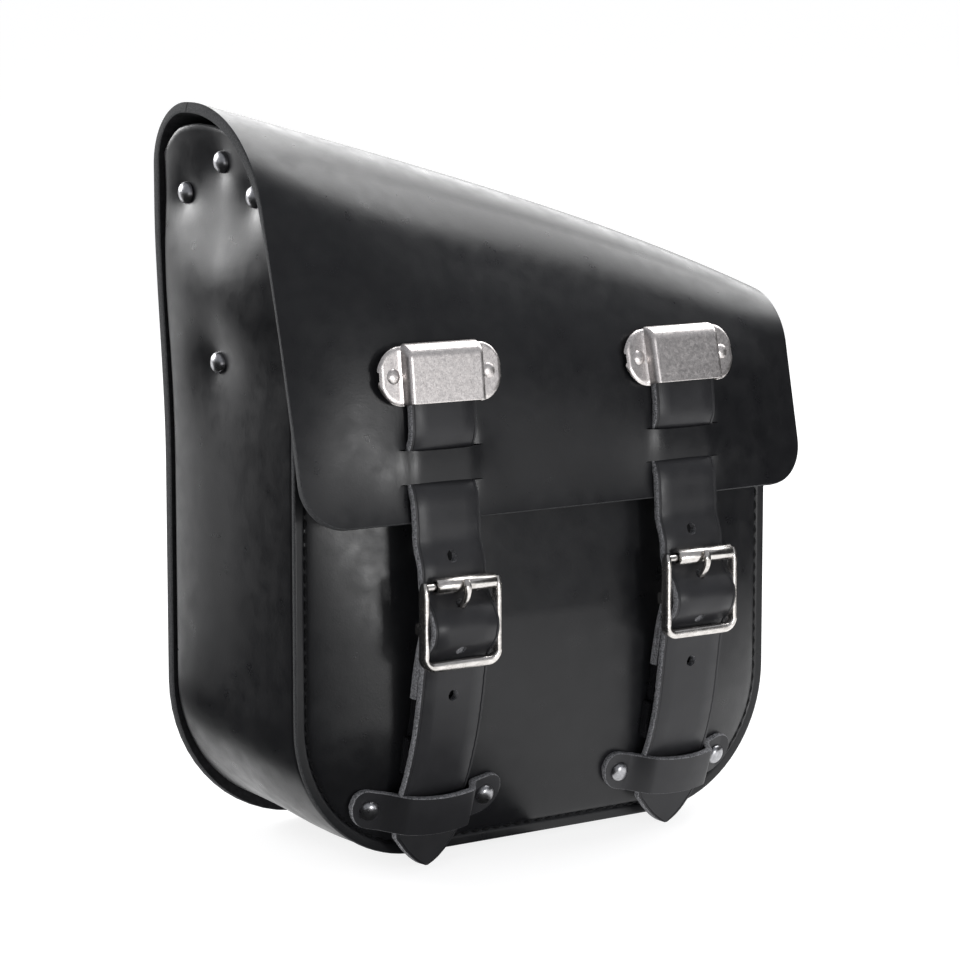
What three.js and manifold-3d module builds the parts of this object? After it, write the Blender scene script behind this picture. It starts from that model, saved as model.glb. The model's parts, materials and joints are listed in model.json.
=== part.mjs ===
// A single-sided leather saddlebag: a domed front panel, a U-shaped gusset and one long sheet that is
// the back panel, rolls over the sloping ridge and comes down the front as the flap. Two straps with
// roller buckles close it. Millimetres, +Z up, X across the bag, -Y is the front.
import * as THREE from 'three';
import { mergeVertices } from 'three/addons/utils/BufferGeometryUtils.js';
import Module from 'manifold-3d';

const wasm = await Module();
wasm.setup();

// ---- driving dimensions -------------------------------------------------------------------------
const GAP = 0.3;                 // clearance between touching pieces
const LEATHER = 3.5;             // body leather thickness
const CENTRE_Y = 26.8;           // shift that puts the origin under the middle of the bag
const HALF_WIDTH = 145;          // back panel and flap
const SEAM_HALF_WIDTH = 138;     // gusset and front panel
const BACK_Y = 50;               // rear face of the back panel
const SEAM_Y = -58.5;            // front face of the stitched border of the front panel
const SEAM_CORNER = 57;          // bottom corner radius at the front seam
const BACK_CORNER = 63;          // bottom corner radius of the back panel

const RIDGE_LEFT_Z = 347;        // top of the bag at its tall end
const RIDGE_RIGHT_Z = 253;       // top of the bag at its short end
const BACK_ROLL = 30;            // radius of the roll behind the ridge
const ROLL_CENTRE_Y = 20;
const FRONT_ROLL_LEFT = 62;      // radius of the roll in front of the ridge, tall end
const FRONT_ROLL_RIGHT = 25;
const FRONT_CENTRE_LEFT_Y = 16;
const FRONT_CENTRE_RIGHT_Y = -40.4;
const FLAP_LEAN = THREE.MathUtils.degToRad(13);
const FLAP_EDGE_Y = -80;         // outer face of the flap at its lower edge, at the two sides
const FLAP_EDGE_Z = 160;
const FLAP_CORNER = 20;
const FLAP_BULGE = 0.115;        // how far the middle of the flap stands forward, for each unit of its drop

const DOME = 21;                 // how far the front panel is moulded forward
const DOME_BORDER = 7;           // flat stitched border
const DOME_RISE = 100;           // distance over which the moulding rises
const DOME_FULL_Z = 110;         // above this height the moulding fades out
const DOME_END_Z = 290;
const PANEL_TOP_LEFT_Z = 285;    // sloping top edge of the front panel
const PANEL_TOP_RIGHT_Z = 205;
const UNDER_FLAP = 2.2;          // least clearance between the flap and the front panel
const EAR_CLEARANCE = 1.2;       // from the front panel to the gusset's front edge under the flap
const EAR_GAP = 9;               // from the ridge leather's outer face to the gusset ear

const STRAP_X = { left: -74.5, right: 65.5 };  // strap centres
const STRAP_WIDTH = 36;
const STRAP_THICK = 3.8;
const HOLE_RADIUS = 2.7;
const PRONG_HOLE_RADIUS = 3.4;   // larger, so that the prong can lift a little
const STRAP_SPLIT_Z = 158.5;     // where the strap leaves the flap's edge and can swing
const STRAP_END_Z = 0.6;
const POINT_LENGTH = 19;

const ROLLER_Y = -97;
const ROLLER_Z = 132;
const ROLLER_RADIUS = 3.75;
const BAR_RADIUS = 1.9;
const CENTRE_BAR_Y = -94;
const CENTRE_BAR_Z = 113;
const BOTTOM_BAR_Z = 95.5;
const PRONG_HOLE_Y = -96.2;      // where the prong comes through the strap
const PRONG_HOLE_Z = 122;
const PRONG_RISE = THREE.MathUtils.degToRad(40);
const FRAME_HALF_WIDTH = 20.4;   // centre of the buckle's side arms

const PLATE_Z = 226;             // metal strap plates
const PLATE_LENGTH = 65;
const PLATE_HEIGHT = 26;
const PLATE_THICK = 1.5;
const PLATE_RISE = 5.2;
const PLATE_RIVET_X = 25.8;
const PLATE_STANDOFF = 1.8;      // the flap bulges a little between the plate's ends

const LOOP_Z = 22;               // leather keeper loops at the bottom of the straps
const LOOP_Y = -66.2;
const LOOP_TILT = THREE.MathUtils.degToRad(19);
const LOOP_HEIGHT = 17.5;
const LOOP_RIVET_X = 31.2;
const LOOP_RISE = 8.4;
const LOOP_THICK = 3.2;

const RIVET_HEAD = 4.75;
const RIVET_DOME = 2.8;
const RIVET_SHANK = 2;
const RIVET_PATTERN = [[0, -24.5], [26, -39.5], [-26, -39.5], [2, -116.5]];  // y, height from the ridge
const RIGHT_RIVETS_Y = -8;       // the pattern sits further forward at the short end
const STAY_THICK = 2;

const BOARD_THICK = 3;           // stiffener behind the back panel
const BOARD_Y = BACK_Y - LEATHER - GAP;
const SCREWS = [[-85, 255], [70, 215], [-5, 70]];   // x, z of the mounting screws
const SCREW_SHANK = 4;
const SCREW_HEAD = 9;
const SCREW_HEAD_HEIGHT = 3;

const CHAPE_WIDTH = 30;          // folded leather tab that holds the buckle
const CHAPE_END_Z = 80;
const CLIP_HALF = 15;            // quick-release clips behind the straps
const CLIP_Y = -78.2;
const CLIP_Z = 60;
const CLIP_TILT = THREE.MathUtils.degToRad(11);
const CLIP_HALF_THICK = 2.3;
const SOCKET_LENGTH = 18;
const PLUG_LENGTH = 19;
const SIDES = 12;                // facets round a rivet or bar

// ---- geometry helpers ---------------------------------------------------------------------------
const lerp = THREE.MathUtils.lerp;
const clamp = THREE.MathUtils.clamp;

function closed(geometry) {
  const g = geometry.clone();
  for (const name of Object.keys(g.attributes)) {
    if (name !== 'position') g.deleteAttribute(name);
  }
  return mergeVertices(g.index ? g.toNonIndexed() : g, 1e-4);
}

function toManifold(geometry) {
  const g = closed(geometry);
  return new wasm.Manifold(new wasm.Mesh({
    numProp: 3,
    vertProperties: new Float32Array(g.attributes.position.array),
    triVerts: new Uint32Array(g.index.array),
  }));
}

function fromManifold(solid) {
  const mesh = solid.getMesh();
  const g = new THREE.BufferGeometry();
  g.setAttribute('position', new THREE.BufferAttribute(new Float32Array(mesh.vertProperties), 3));
  g.setIndex(new THREE.BufferAttribute(new Uint32Array(mesh.triVerts), 1));
  return g;
}

function cut(geometry, ...tools) {
  return fromManifold(tools.reduce((solid, tool) => solid.subtract(toManifold(tool)), toManifold(geometry)));
}

function join(geometry, ...others) {
  return fromManifold(others.reduce((solid, other) => solid.add(toManifold(other)), toManifold(geometry)));
}

function common(geometry, other) {
  return fromManifold(toManifold(geometry).intersect(toManifold(other)));
}

// A closed sheet from two grids of points, its outer and its inner face.
function sheet(columns, rows, outerAt, innerAt) {
  const positions = [];
  for (const at of [outerAt, innerAt]) {
    for (let j = 0; j <= rows; j += 1) {
      for (let i = 0; i <= columns; i += 1) positions.push(...at(i / columns, j / rows));
    }
  }
  const face = (columns + 1) * (rows + 1);
  const id = (i, j, side) => side * face + j * (columns + 1) + i;
  const index = [];
  const quad = (a, b, c, d) => index.push(a, b, c, a, c, d);
  for (let j = 0; j < rows; j += 1) {
    for (let i = 0; i < columns; i += 1) {
      quad(id(i, j, 0), id(i + 1, j, 0), id(i + 1, j + 1, 0), id(i, j + 1, 0));
      quad(id(i, j, 1), id(i, j + 1, 1), id(i + 1, j + 1, 1), id(i + 1, j, 1));
    }
  }
  for (let i = 0; i < columns; i += 1) {
    quad(id(i, 0, 1), id(i + 1, 0, 1), id(i + 1, 0, 0), id(i, 0, 0));
    quad(id(i, rows, 0), id(i + 1, rows, 0), id(i + 1, rows, 1), id(i, rows, 1));
  }
  for (let j = 0; j < rows; j += 1) {
    quad(id(0, j, 0), id(0, j + 1, 0), id(0, j + 1, 1), id(0, j, 1));
    quad(id(columns, j, 1), id(columns, j + 1, 1), id(columns, j + 1, 0), id(columns, j, 0));
  }
  const g = new THREE.BufferGeometry();
  g.setAttribute('position', new THREE.BufferAttribute(new Float32Array(positions), 3));
  g.setIndex(index);
  return g;
}

function extrude(shape, depth) {
  return new THREE.ExtrudeGeometry(shape, { depth, bevelEnabled: false, curveSegments: 7 });
}

// A side outline of [y, z] points, extruded along X from x0 to x1.
function prismX(outline, x0, x1) {
  const g = extrude(new THREE.Shape(outline.map(([y, z]) => new THREE.Vector2(y, z))), x1 - x0);
  const turn = new THREE.Matrix4().makeBasis(
    new THREE.Vector3(0, 1, 0), new THREE.Vector3(0, 0, 1), new THREE.Vector3(1, 0, 0));
  return g.applyMatrix4(turn).translate(x0, 0, 0);
}

// A front outline of [x, z] points or a shape, extruded along Y from y0 to y1.
function prismY(outline, y0, y1) {
  const shape = Array.isArray(outline)
    ? new THREE.Shape(outline.map(([x, z]) => new THREE.Vector2(x, z)))
    : outline;
  return extrude(shape, y1 - y0).rotateX(Math.PI / 2).translate(0, y1, 0);
}

function box(x0, x1, y0, y1, z0, z1) {
  return new THREE.BoxGeometry(x1 - x0, y1 - y0, z1 - z0)
    .translate((x0 + x1) / 2, (y0 + y1) / 2, (z0 + z1) / 2);
}

function barX(radius, x0, x1, y, z) {
  return new THREE.CylinderGeometry(radius, radius, x1 - x0, SIDES)
    .rotateZ(Math.PI / 2).translate((x0 + x1) / 2, y, z);
}

function barY(radius, y0, y1, x, z) {
  return new THREE.CylinderGeometry(radius, radius, y1 - y0, SIDES).translate(x, (y0 + y1) / 2, z);
}

function offsetLine(points, distance) {
  return points.map((point, i) => {
    const before = points[Math.max(0, i - 1)];
    const after = points[Math.min(points.length - 1, i + 1)];
    const dy = after[0] - before[0];
    const dz = after[1] - before[1];
    const length = Math.hypot(dy, dz);
    return [point[0] - (dz / length) * distance, point[1] + (dy / length) * distance];
  });
}

function smooth(points, divisions) {
  const knots = points.map(([y, z]) => new THREE.Vector3(0, y, z));
  const curve = new THREE.CatmullRomCurve3(knots, false, 'centripetal');
  return curve.getPoints(divisions).map((p) => [p.y, p.z]);
}

// A strap: its centre line in the Y-Z plane, given its thickness and its width.
function strip(centre, thickness, x, width) {
  const front = offsetLine(centre, -thickness / 2);
  const back = offsetLine(centre, thickness / 2);
  return prismX([...front, ...back.reverse()], x - width / 2, x + width / 2);
}

// ---- the long sheet: back panel, ridge roll and flap --------------------------------------------
const along = (x) => (x + HALF_WIDTH) / (2 * HALF_WIDTH);
const ridgeZ = (x) => lerp(RIDGE_LEFT_Z, RIDGE_RIGHT_Z, along(x));
const frontRoll = (x) => lerp(FRONT_ROLL_LEFT, FRONT_ROLL_RIGHT, along(x));
const frontCentreY = (x) => lerp(FRONT_CENTRE_LEFT_Y, FRONT_CENTRE_RIGHT_Y, along(x));

// A point of the roll behind the ridge, at an angle from the back; depth is measured inward.
function backRollPoint(x, angle, depth) {
  const radius = BACK_ROLL - depth;
  return [x, ROLL_CENTRE_Y + radius * Math.cos(angle), ridgeZ(x) - BACK_ROLL + radius * Math.sin(angle)];
}

// A point of the roll in front of the ridge, at an angle from the top.
function frontRollPoint(x, angle, depth) {
  const radius = frontRoll(x) - depth;
  return [
    x,
    frontCentreY(x) - radius * Math.sin(angle),
    ridgeZ(x) - frontRoll(x) + radius * Math.cos(angle),
  ];
}

const FRONT_ROLL_END = Math.PI / 2 - FLAP_LEAN;

// The flap below the roll: height z, outer face at depth 0.
function flapY(x, z) {
  const [, topY, topZ] = frontRollPoint(x, FRONT_ROLL_END, 0);
  const down = clamp((topZ - z) / (topZ - FLAP_EDGE_Z), 0, 1);
  const across = 1 - (x / HALF_WIDTH) ** 4;
  const forward = FLAP_BULGE * (topZ - FLAP_EDGE_Z) * across;
  const bulge = forward * Math.sin(Math.PI * down ** 0.7) ** 0.8;
  const lowEdge = 4 * across * down;
  return lerp(topY, FLAP_EDGE_Y, down) - bulge - lowEdge;
}

function backPanel() {
  const flatRows = 8;
  const rollRows = 4;
  const rows = flatRows + rollRows;
  const halfAt = (z) => (z >= BACK_CORNER
    ? HALF_WIDTH
    : HALF_WIDTH - BACK_CORNER + Math.sqrt(BACK_CORNER ** 2 - (BACK_CORNER - z) ** 2));
  const cornerRows = 5;
  const at = (depth) => (u, v) => {
    const row = Math.round(v * rows);
    const side = 2 * u - 1;
    if (row <= cornerRows) {
      const angle = (row / cornerRows) * (Math.PI / 2);
      const z = BACK_CORNER * (1 - Math.cos(angle));
      return [side * halfAt(z), BACK_Y - depth, z];
    }
    const x = side * HALF_WIDTH;
    if (row <= flatRows) {
      const z = lerp(BACK_CORNER, ridgeZ(x) - BACK_ROLL, (row - cornerRows) / (flatRows - cornerRows));
      return [x, BACK_Y - depth, z];
    }
    return backRollPoint(x, ((row - flatRows) / rollRows) * (Math.PI / 4), depth);
  };
  return sheet(8, rows, (u, v) => at(0)(1 - u, v), (u, v) => at(LEATHER)(1 - u, v));
}

function ridgeRoll() {
  const quarter = Math.PI / 4;
  const slack = GAP / BACK_ROLL;
  const rows = 10;
  const at = (depth) => (u, v) => {
    const x = lerp(-HALF_WIDTH, HALF_WIDTH, u);
    const step = v * rows;
    if (step <= 4) return backRollPoint(x, lerp(quarter + slack, 2 * quarter, step / 4), depth);
    if (step <= 6) {
      const y = lerp(ROLL_CENTRE_Y, frontCentreY(x), (step - 4) / 2);
      return [x, y, ridgeZ(x) - depth];
    }
    return frontRollPoint(x, ((step - 6) / 4) * (quarter - GAP / frontRoll(x)), depth);
  };
  return sheet(8, rows, (u, v) => at(0)(1 - u, v), (u, v) => at(LEATHER)(1 - u, v));
}

function flap() {
  const rollRows = 3;
  const lineRows = 6;
  const cornerRows = 3;
  const rows = rollRows + lineRows + cornerRows;
  const cornerTop = FLAP_EDGE_Z + FLAP_CORNER;
  const at = (depth) => (u, v) => {
    const row = Math.round(v * rows);
    let x = (2 * u - 1) * HALF_WIDTH;
    if (row <= rollRows) {
      return frontRollPoint(x, lerp(Math.PI / 4, FRONT_ROLL_END, row / rollRows), depth);
    }
    const topZ = frontRollPoint(x, FRONT_ROLL_END, 0)[2];
    let z = lerp(topZ, cornerTop, (row - rollRows) / lineRows);
    if (row > rollRows + lineRows) {
      const angle = ((row - rollRows - lineRows) / cornerRows) * (Math.PI / 2);
      z = cornerTop - FLAP_CORNER * Math.sin(angle);
      x = (2 * u - 1) * (HALF_WIDTH - FLAP_CORNER * (1 - Math.cos(angle)));
    }
    return [x, flapY(x, z) + depth * Math.cos(FLAP_LEAN), z - depth * Math.sin(FLAP_LEAN)];
  };
  return sheet(14, rows, (u, v) => at(0)(1 - u, v), (u, v) => at(LEATHER)(1 - u, v));
}

// ---- the pouch ----------------------------------------------------------------------------------
function seamHalfAt(z) {
  if (z >= SEAM_CORNER) return SEAM_HALF_WIDTH;
  return SEAM_HALF_WIDTH - SEAM_CORNER + Math.sqrt(SEAM_CORNER ** 2 - (SEAM_CORNER - z) ** 2);
}

// Distance of a point of the front panel from its stitched outline.
function fromOutline(x, z) {
  const cornerX = SEAM_HALF_WIDTH - SEAM_CORNER;
  if (Math.abs(x) > cornerX && z < SEAM_CORNER) {
    return SEAM_CORNER - Math.hypot(Math.abs(x) - cornerX, SEAM_CORNER - z);
  }
  return Math.min(SEAM_HALF_WIDTH - Math.abs(x), z);
}

// Outer face of the front panel: moulded forward, and behind the leaning flap near its top.
function panelY(x, z) {
  const inward = clamp((fromOutline(x, z) - DOME_BORDER) / DOME_RISE, 0, 1);
  const fade = 1 - clamp((z - DOME_FULL_Z) / (DOME_END_Z - DOME_FULL_Z), 0, 1);
  const moulded = SEAM_Y - DOME * Math.sin((inward * Math.PI) / 2) ** 0.8 * fade;
  return z < FLAP_EDGE_Z ? moulded : Math.max(moulded, flapY(x, z) + LEATHER + UNDER_FLAP);
}

const panelTopZ = (x) => lerp(PANEL_TOP_LEFT_Z, PANEL_TOP_RIGHT_Z, along(x));

function frontPanel() {
  const rows = 16;
  const cornerRows = 6;
  const at = (depth) => (u, v) => {
    const row = Math.round(v * rows);
    let z = lerp(SEAM_CORNER, PANEL_TOP_LEFT_Z, (row - cornerRows) / (rows - cornerRows));
    if (row < cornerRows) z = SEAM_CORNER * (1 - Math.cos((row / cornerRows) * (Math.PI / 2)));
    const half = seamHalfAt(z);
    const side = Math.sin(((2 * u - 1) * Math.PI) / 2 * 0.8) / Math.sin(0.4 * Math.PI);
    const x = side * half;
    return [x, panelY(x, z) + depth, z];
  };
  const panel = sheet(14, rows, at(0), at(LEATHER));
  const high = PANEL_TOP_LEFT_Z + 40;
  const above = prismY([
    [-HALF_WIDTH, PANEL_TOP_LEFT_Z], [HALF_WIDTH, PANEL_TOP_RIGHT_Z], [HALF_WIDTH, high], [-HALF_WIDTH, high],
  ], -120, 0);
  return cut(panel, above);
}

function uOutline(half, corner, inset, leftTop, rightTop) {
  const points = (offset) => {
    const reach = half - offset;
    const radius = corner - offset;
    const arc = (side) => Array.from({ length: 7 }, (_, i) => {
      const angle = (i / 6) * (Math.PI / 2);
      return [side * (reach - radius + radius * Math.cos(angle)), offset + radius * (1 - Math.sin(angle))];
    });
    return [[-reach, leftTop], ...arc(-1), ...arc(1).reverse(), [reach, rightTop]];
  };
  return [...points(0), ...points(inset).reverse()];
}

// Side outline of a gusset ear: it follows the ridge leather from inside.
function earOutline(x) {
  const outline = [[SEAM_Y + LEATHER + GAP, -1], [BACK_Y - LEATHER - GAP, -1]];
  outline.push([BACK_Y - LEATHER - GAP, ridgeZ(x) - 62]);
  for (let i = 0; i <= 6; i += 1) {
    const [, y, z] = backRollPoint(x, (i / 6) * (Math.PI / 2), EAR_GAP);
    outline.push([y, z]);
  }
  for (let i = 0; i <= 6; i += 1) {
    const [, y, z] = frontRollPoint(x, (i / 6) * FRONT_ROLL_END, EAR_GAP);
    outline.push([y, z]);
  }
  for (let i = 0; i <= 6; i += 1) {
    const z = lerp(panelTopZ(x), FLAP_EDGE_Z, i / 6);
    outline.push([panelY(x, z) + LEATHER + EAR_CLEARANCE, z]);
  }
  return outline;
}

function gusset() {
  const walls = prismY(
    uOutline(SEAM_HALF_WIDTH, SEAM_CORNER, LEATHER, RIDGE_LEFT_Z, RIDGE_RIGHT_Z + 10),
    SEAM_Y + LEATHER + GAP, BACK_Y - LEATHER - GAP);
  const left = prismX(earOutline(-SEAM_HALF_WIDTH), -HALF_WIDTH, 0);
  const right = prismX(earOutline(SEAM_HALF_WIDTH), 0, HALF_WIDTH);
  return common(walls, join(left, right));
}

// ---- inside: back stiffener, mounting screws and side stays -------------------------------------

function stiffener() {
  const outline = [[-115, 40], [-85, 14], [85, 14], [115, 40], [115, 215], [-115, 290]];
  return prismY(outline, BOARD_Y - BOARD_THICK, BOARD_Y);
}

function mountingScrew([x, z]) {
  const underHead = BOARD_Y - BOARD_THICK - GAP;
  const length = SCREW_HEAD_HEIGHT + BACK_Y - underHead;
  const profile = [
    [0, 0], [SCREW_HEAD - 1.5, 0], [SCREW_HEAD, 1.2], [SCREW_HEAD, SCREW_HEAD_HEIGHT],
    [SCREW_SHANK, SCREW_HEAD_HEIGHT], [SCREW_SHANK, length], [0, length],
  ];
  return lathe(profile).translate(x, underHead - SCREW_HEAD_HEIGHT, z);
}

function lathe(profile) {
  return new THREE.LatheGeometry(profile.map(([r, h]) => new THREE.Vector2(r, h)), SIDES);
}

function sideRivetPlaces(side) {
  const x = side * SEAM_HALF_WIDTH;
  const shift = side < 0 ? 0 : RIGHT_RIVETS_Y;
  return RIVET_PATTERN.map(([y, down]) => [y + shift, ridgeZ(x) + down]);
}

function sideStay(side) {
  const places = sideRivetPlaces(side);
  const middle = places[0][0];
  const [top, , , low] = places.map((place) => place[1]);
  const outline = [
    [middle - 9, top + 7], [middle + 9, top + 7], [middle + 33, top - 12], [middle + 33, top - 22],
    [middle + 11, top - 40], [middle + 11, low - 9], [middle - 7, low - 9], [middle - 11, top - 40],
    [middle - 33, top - 22], [middle - 33, top - 12],
  ];
  const outer = side * (SEAM_HALF_WIDTH - LEATHER - GAP);
  const inner = outer - side * STAY_THICK;
  return prismX(outline, Math.min(inner, outer), Math.max(inner, outer));
}

// ---- rivets -------------------------------------------------------------------------------------
// Local frame: head dome towards +Y, shank towards -Y, the seat at the origin.
function rivet(shankLength) {
  const profile = [[0, -shankLength], [RIVET_SHANK, -shankLength], [RIVET_SHANK, 0], [RIVET_HEAD - 0.4, 0]];
  const steps = 3;
  for (let i = 0; i <= steps; i += 1) {
    const angle = (i / steps) * (Math.PI / 2);
    profile.push([i === steps ? 0 : RIVET_HEAD * Math.cos(angle), 0.5 + RIVET_DOME * Math.sin(angle)]);
  }
  return lathe(profile);
}

function sideRivet(side, [y, z]) {
  const length = GAP + LEATHER + GAP + STAY_THICK;
  return rivet(length).rotateZ(-side * Math.PI / 2).translate(side * (SEAM_HALF_WIDTH + GAP), y, z);
}

function sideRivetHole(side, [y, z]) {
  const x = side * SEAM_HALF_WIDTH;
  return barX(RIVET_SHANK + GAP, x - 12, x + 12, y, z);
}

// ---- straps -------------------------------------------------------------------------------------
function upperStrapLine(x) {
  const out = STRAP_THICK / 2 + 2 * GAP;
  const behind = LEATHER + GAP * 2 + STRAP_THICK / 2;
  const heights = [
    [238, -out], [222, -out], [206, -out], [200, -out], [196, 0.2 - out / 2], [191, behind - 1.2],
    [187, behind], [184, behind], [180, behind - 1.2], [175, 0.2 - out / 2], [171, -out], [166, -out],
    [STRAP_SPLIT_Z + GAP, -out],
  ];
  const half = STRAP_WIDTH / 2;
  return heights.map(([z, back]) => {
    const edges = [x - half, x, x + half].map((at) => flapY(at, Math.max(z, FLAP_EDGE_Z)));
    return [(back < 0 ? Math.min(...edges) : Math.max(...edges)) + back, z];
  });
}

function lowerStrapLine(x) {
  const start = flapY(x, FLAP_EDGE_Z) - STRAP_THICK / 2 - GAP;
  return smooth([
    [start, STRAP_SPLIT_Z], [start - 0.5, 150], [-90, 140], [-90.8, 132], [-93.6, 125], [-98.6, 119],
    [-101, 113], [-99.6, 107], [-95.4, 102.5], [-92.4, 98.5], [-91.8, 94], [-90.6, 88], [-89, 78],
    [-85.2, 60], [-79.9, 42], [-73, 27], [-70.2, 20], [-68.6, 10], [-67.6, STRAP_END_Z],
  ], 28);
}

// The prong's hole is square to the strap where the strap bends out over the centre bar.
function strapHoles(x) {
  const prongHole = barY(PRONG_HOLE_RADIUS, -9, 9, 0, 0).rotateX(-PRONG_RISE)
    .translate(x, PRONG_HOLE_Y, PRONG_HOLE_Z);
  return [144, 80].map((z) => barY(HOLE_RADIUS, -105, -75, x, z)).concat(prongHole);
}

function lowerStrap(x) {
  const half = STRAP_WIDTH / 2;
  const outline = [
    [x - half, STRAP_SPLIT_Z + 5], [x - half, STRAP_END_Z + POINT_LENGTH], [x - 3, STRAP_END_Z + 1.5],
    [x + 3, STRAP_END_Z + 1.5], [x + half, STRAP_END_Z + POINT_LENGTH], [x + half, STRAP_SPLIT_Z + 5],
  ];
  const band = strip(lowerStrapLine(x), STRAP_THICK, x, STRAP_WIDTH);
  return cut(common(band, prismY(outline, -120, -50)), ...strapHoles(x));
}

// ---- strap plates -------------------------------------------------------------------------------
function stadium(length, height) {
  const radius = height / 2;
  const shape = new THREE.Shape();
  shape.moveTo(-length / 2 + radius, -radius);
  shape.lineTo(length / 2 - radius, -radius);
  shape.absarc(length / 2 - radius, 0, radius, -Math.PI / 2, Math.PI / 2, false);
  shape.lineTo(-length / 2 + radius, radius);
  shape.absarc(-length / 2 + radius, 0, radius, Math.PI / 2, (3 * Math.PI) / 2, false);
  return shape;
}

// Local frame: the plate's back lies in the X-Z plane and it rises towards -Y.
function strapPlate() {
  const half = PLATE_LENGTH / 2;
  const top = [
    [half, PLATE_THICK], [20.1, PLATE_THICK], [19.7, PLATE_RISE], [18.9, PLATE_RISE + PLATE_THICK],
  ];
  const under = [[half, 0], [18.7, 0], [18.5, PLATE_RISE - 0.2], [18.1, PLATE_RISE]];
  const mirror = (points) => points.map(([x, y]) => [-x, y]).reverse();
  const back = under.map(([x, y]) => [-x, y]);
  const profile = [...top, ...mirror(top), ...back, ...mirror(back)];
  const hat = extrude(new THREE.Shape(profile.map(([x, y]) => new THREE.Vector2(x, -y))), PLATE_HEIGHT)
    .translate(0, 0, -PLATE_HEIGHT / 2);
  return common(hat, prismY(stadium(PLATE_LENGTH, PLATE_HEIGHT), -20, 5));
}

// ---- buckles ------------------------------------------------------------------------------------
function ball(radius, x, y, z) {
  return new THREE.SphereGeometry(radius, SIDES, SIDES / 2).translate(x, y, z);
}

function barZ(radius, x, y, z0, z1) {
  return new THREE.CylinderGeometry(radius, radius, z1 - z0, SIDES)
    .rotateX(Math.PI / 2).translate(x, y, (z0 + z1) / 2);
}

function buckleFrame(x) {
  const left = x - FRAME_HALF_WIDTH;
  const right = x + FRAME_HALF_WIDTH;
  const pieces = [barX(2.2, left, right, ROLLER_Y, BOTTOM_BAR_Z)];
  pieces.push(barX(BAR_RADIUS * 0.9, left, right, CENTRE_BAR_Y, CENTRE_BAR_Z));
  for (const side of [left, right]) {
    pieces.push(barZ(BAR_RADIUS, side, ROLLER_Y, BOTTOM_BAR_Z, ROLLER_Z));
    pieces.push(ball(2.2, side, ROLLER_Y, BOTTOM_BAR_Z), ball(BAR_RADIUS, side, ROLLER_Y, ROLLER_Z));
    pieces.push(box(
      side - 1.4, side + 1.4, ROLLER_Y, CENTRE_BAR_Y + 1.5, CENTRE_BAR_Z - 2.5, CENTRE_BAR_Z + 2.5));
  }
  return join(barX(BAR_RADIUS * 0.8, left, right, ROLLER_Y, ROLLER_Z), ...pieces);
}

function roller(x) {
  const half = FRAME_HALF_WIDTH - BAR_RADIUS - GAP;
  const outer = barX(ROLLER_RADIUS, x - half, x + half, ROLLER_Y, ROLLER_Z);
  return cut(outer, barX(BAR_RADIUS * 0.8 + GAP, x - half - 2, x + half + 2, ROLLER_Y, ROLLER_Z));
}

// The prong turns on the centre bar, comes through the strap and rests on the roller.
function prong(x) {
  const half = 1.7;
  const eye = barX(3.6, x - half, x + half, CENTRE_BAR_Y, CENTRE_BAR_Z);
  const arm = prismX([
    [-94, 115.6], [-95.6, 116.2], [-95.2, 118.7], [-101.6, 124.8], [-103.4, 128.5], [-103.6, 132],
    [-102.3, 134.4], [-101.1, 134], [-101.1, 129.5], [-100, 126.8], [-93.1, 121.1], [-91.4, 117.5],
    [-92, 115.4],
  ].reverse(), x - half, x + half);
  return cut(join(eye, arm), barX(BAR_RADIUS * 0.9 + GAP, x - 4, x + 4, CENTRE_BAR_Y, CENTRE_BAR_Z));
}

// A folded leather tab round the centre bar, with a slot for the prong.
function chape(x) {
  const half = CHAPE_WIDTH / 2;
  const fold = barX(4.6, x - half, x + half, CENTRE_BAR_Y, CENTRE_BAR_Z);
  const tail = prismX([
    [CENTRE_BAR_Y + 1, CENTRE_BAR_Z - 4], [CENTRE_BAR_Y + 4.5, CENTRE_BAR_Z], [-84.6, 98],
    [-82.8, 90], [-80.4, CHAPE_END_Z], [-85.2, CHAPE_END_Z], [-87.2, 90], [-88.9, 98],
  ], x - half, x + half);
  return cut(
    join(fold, tail),
    barX(BAR_RADIUS * 0.9 + GAP, x - CHAPE_WIDTH, x + CHAPE_WIDTH, CENTRE_BAR_Y, CENTRE_BAR_Z),
    box(x - 2.4, x + 2.4, CENTRE_BAR_Y - 10, CENTRE_BAR_Y + 10, CENTRE_BAR_Z - 5, CENTRE_BAR_Z + 10));
}

// ---- hidden quick-release clips -----------------------------------------------------------------
// Local frame: Z runs up the clip, the joint between socket and plug at the origin.
function behindStrap(x) {
  return new THREE.Matrix4().makeTranslation(x, CLIP_Y, CLIP_Z)
    .multiply(new THREE.Matrix4().makeRotationX(CLIP_TILT));
}

function clipPlug() {
  const head = box(-CLIP_HALF, CLIP_HALF, -CLIP_HALF_THICK, CLIP_HALF_THICK, GAP, PLUG_LENGTH);
  const arms = [-1, 0, 1].map((side) => box(side * 9 - 2, side * 9 + 2, -1.1, 1.1, 5 - SOCKET_LENGTH, 2));
  return join(head, ...arms);
}

function clipSocket() {
  const half = CLIP_HALF + 2;
  const shell = box(-half, half, -CLIP_HALF_THICK, CLIP_HALF_THICK, -SOCKET_LENGTH, 0);
  return cut(shell, box(-12.5, 12.5, -1.5, 1.5, 4 - SOCKET_LENGTH, 1));
}

// The tab that holds the socket to the front panel.
function clipTab(x) {
  const top = [-75.3, CLIP_Z - SOCKET_LENGTH - GAP];
  const line = smooth([top, [-71.5, 36], [-69.3, 30], [-66.7, 22], [-63.8, 14]], 8);
  return strip(line, 1.8, x, 26);
}

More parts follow.
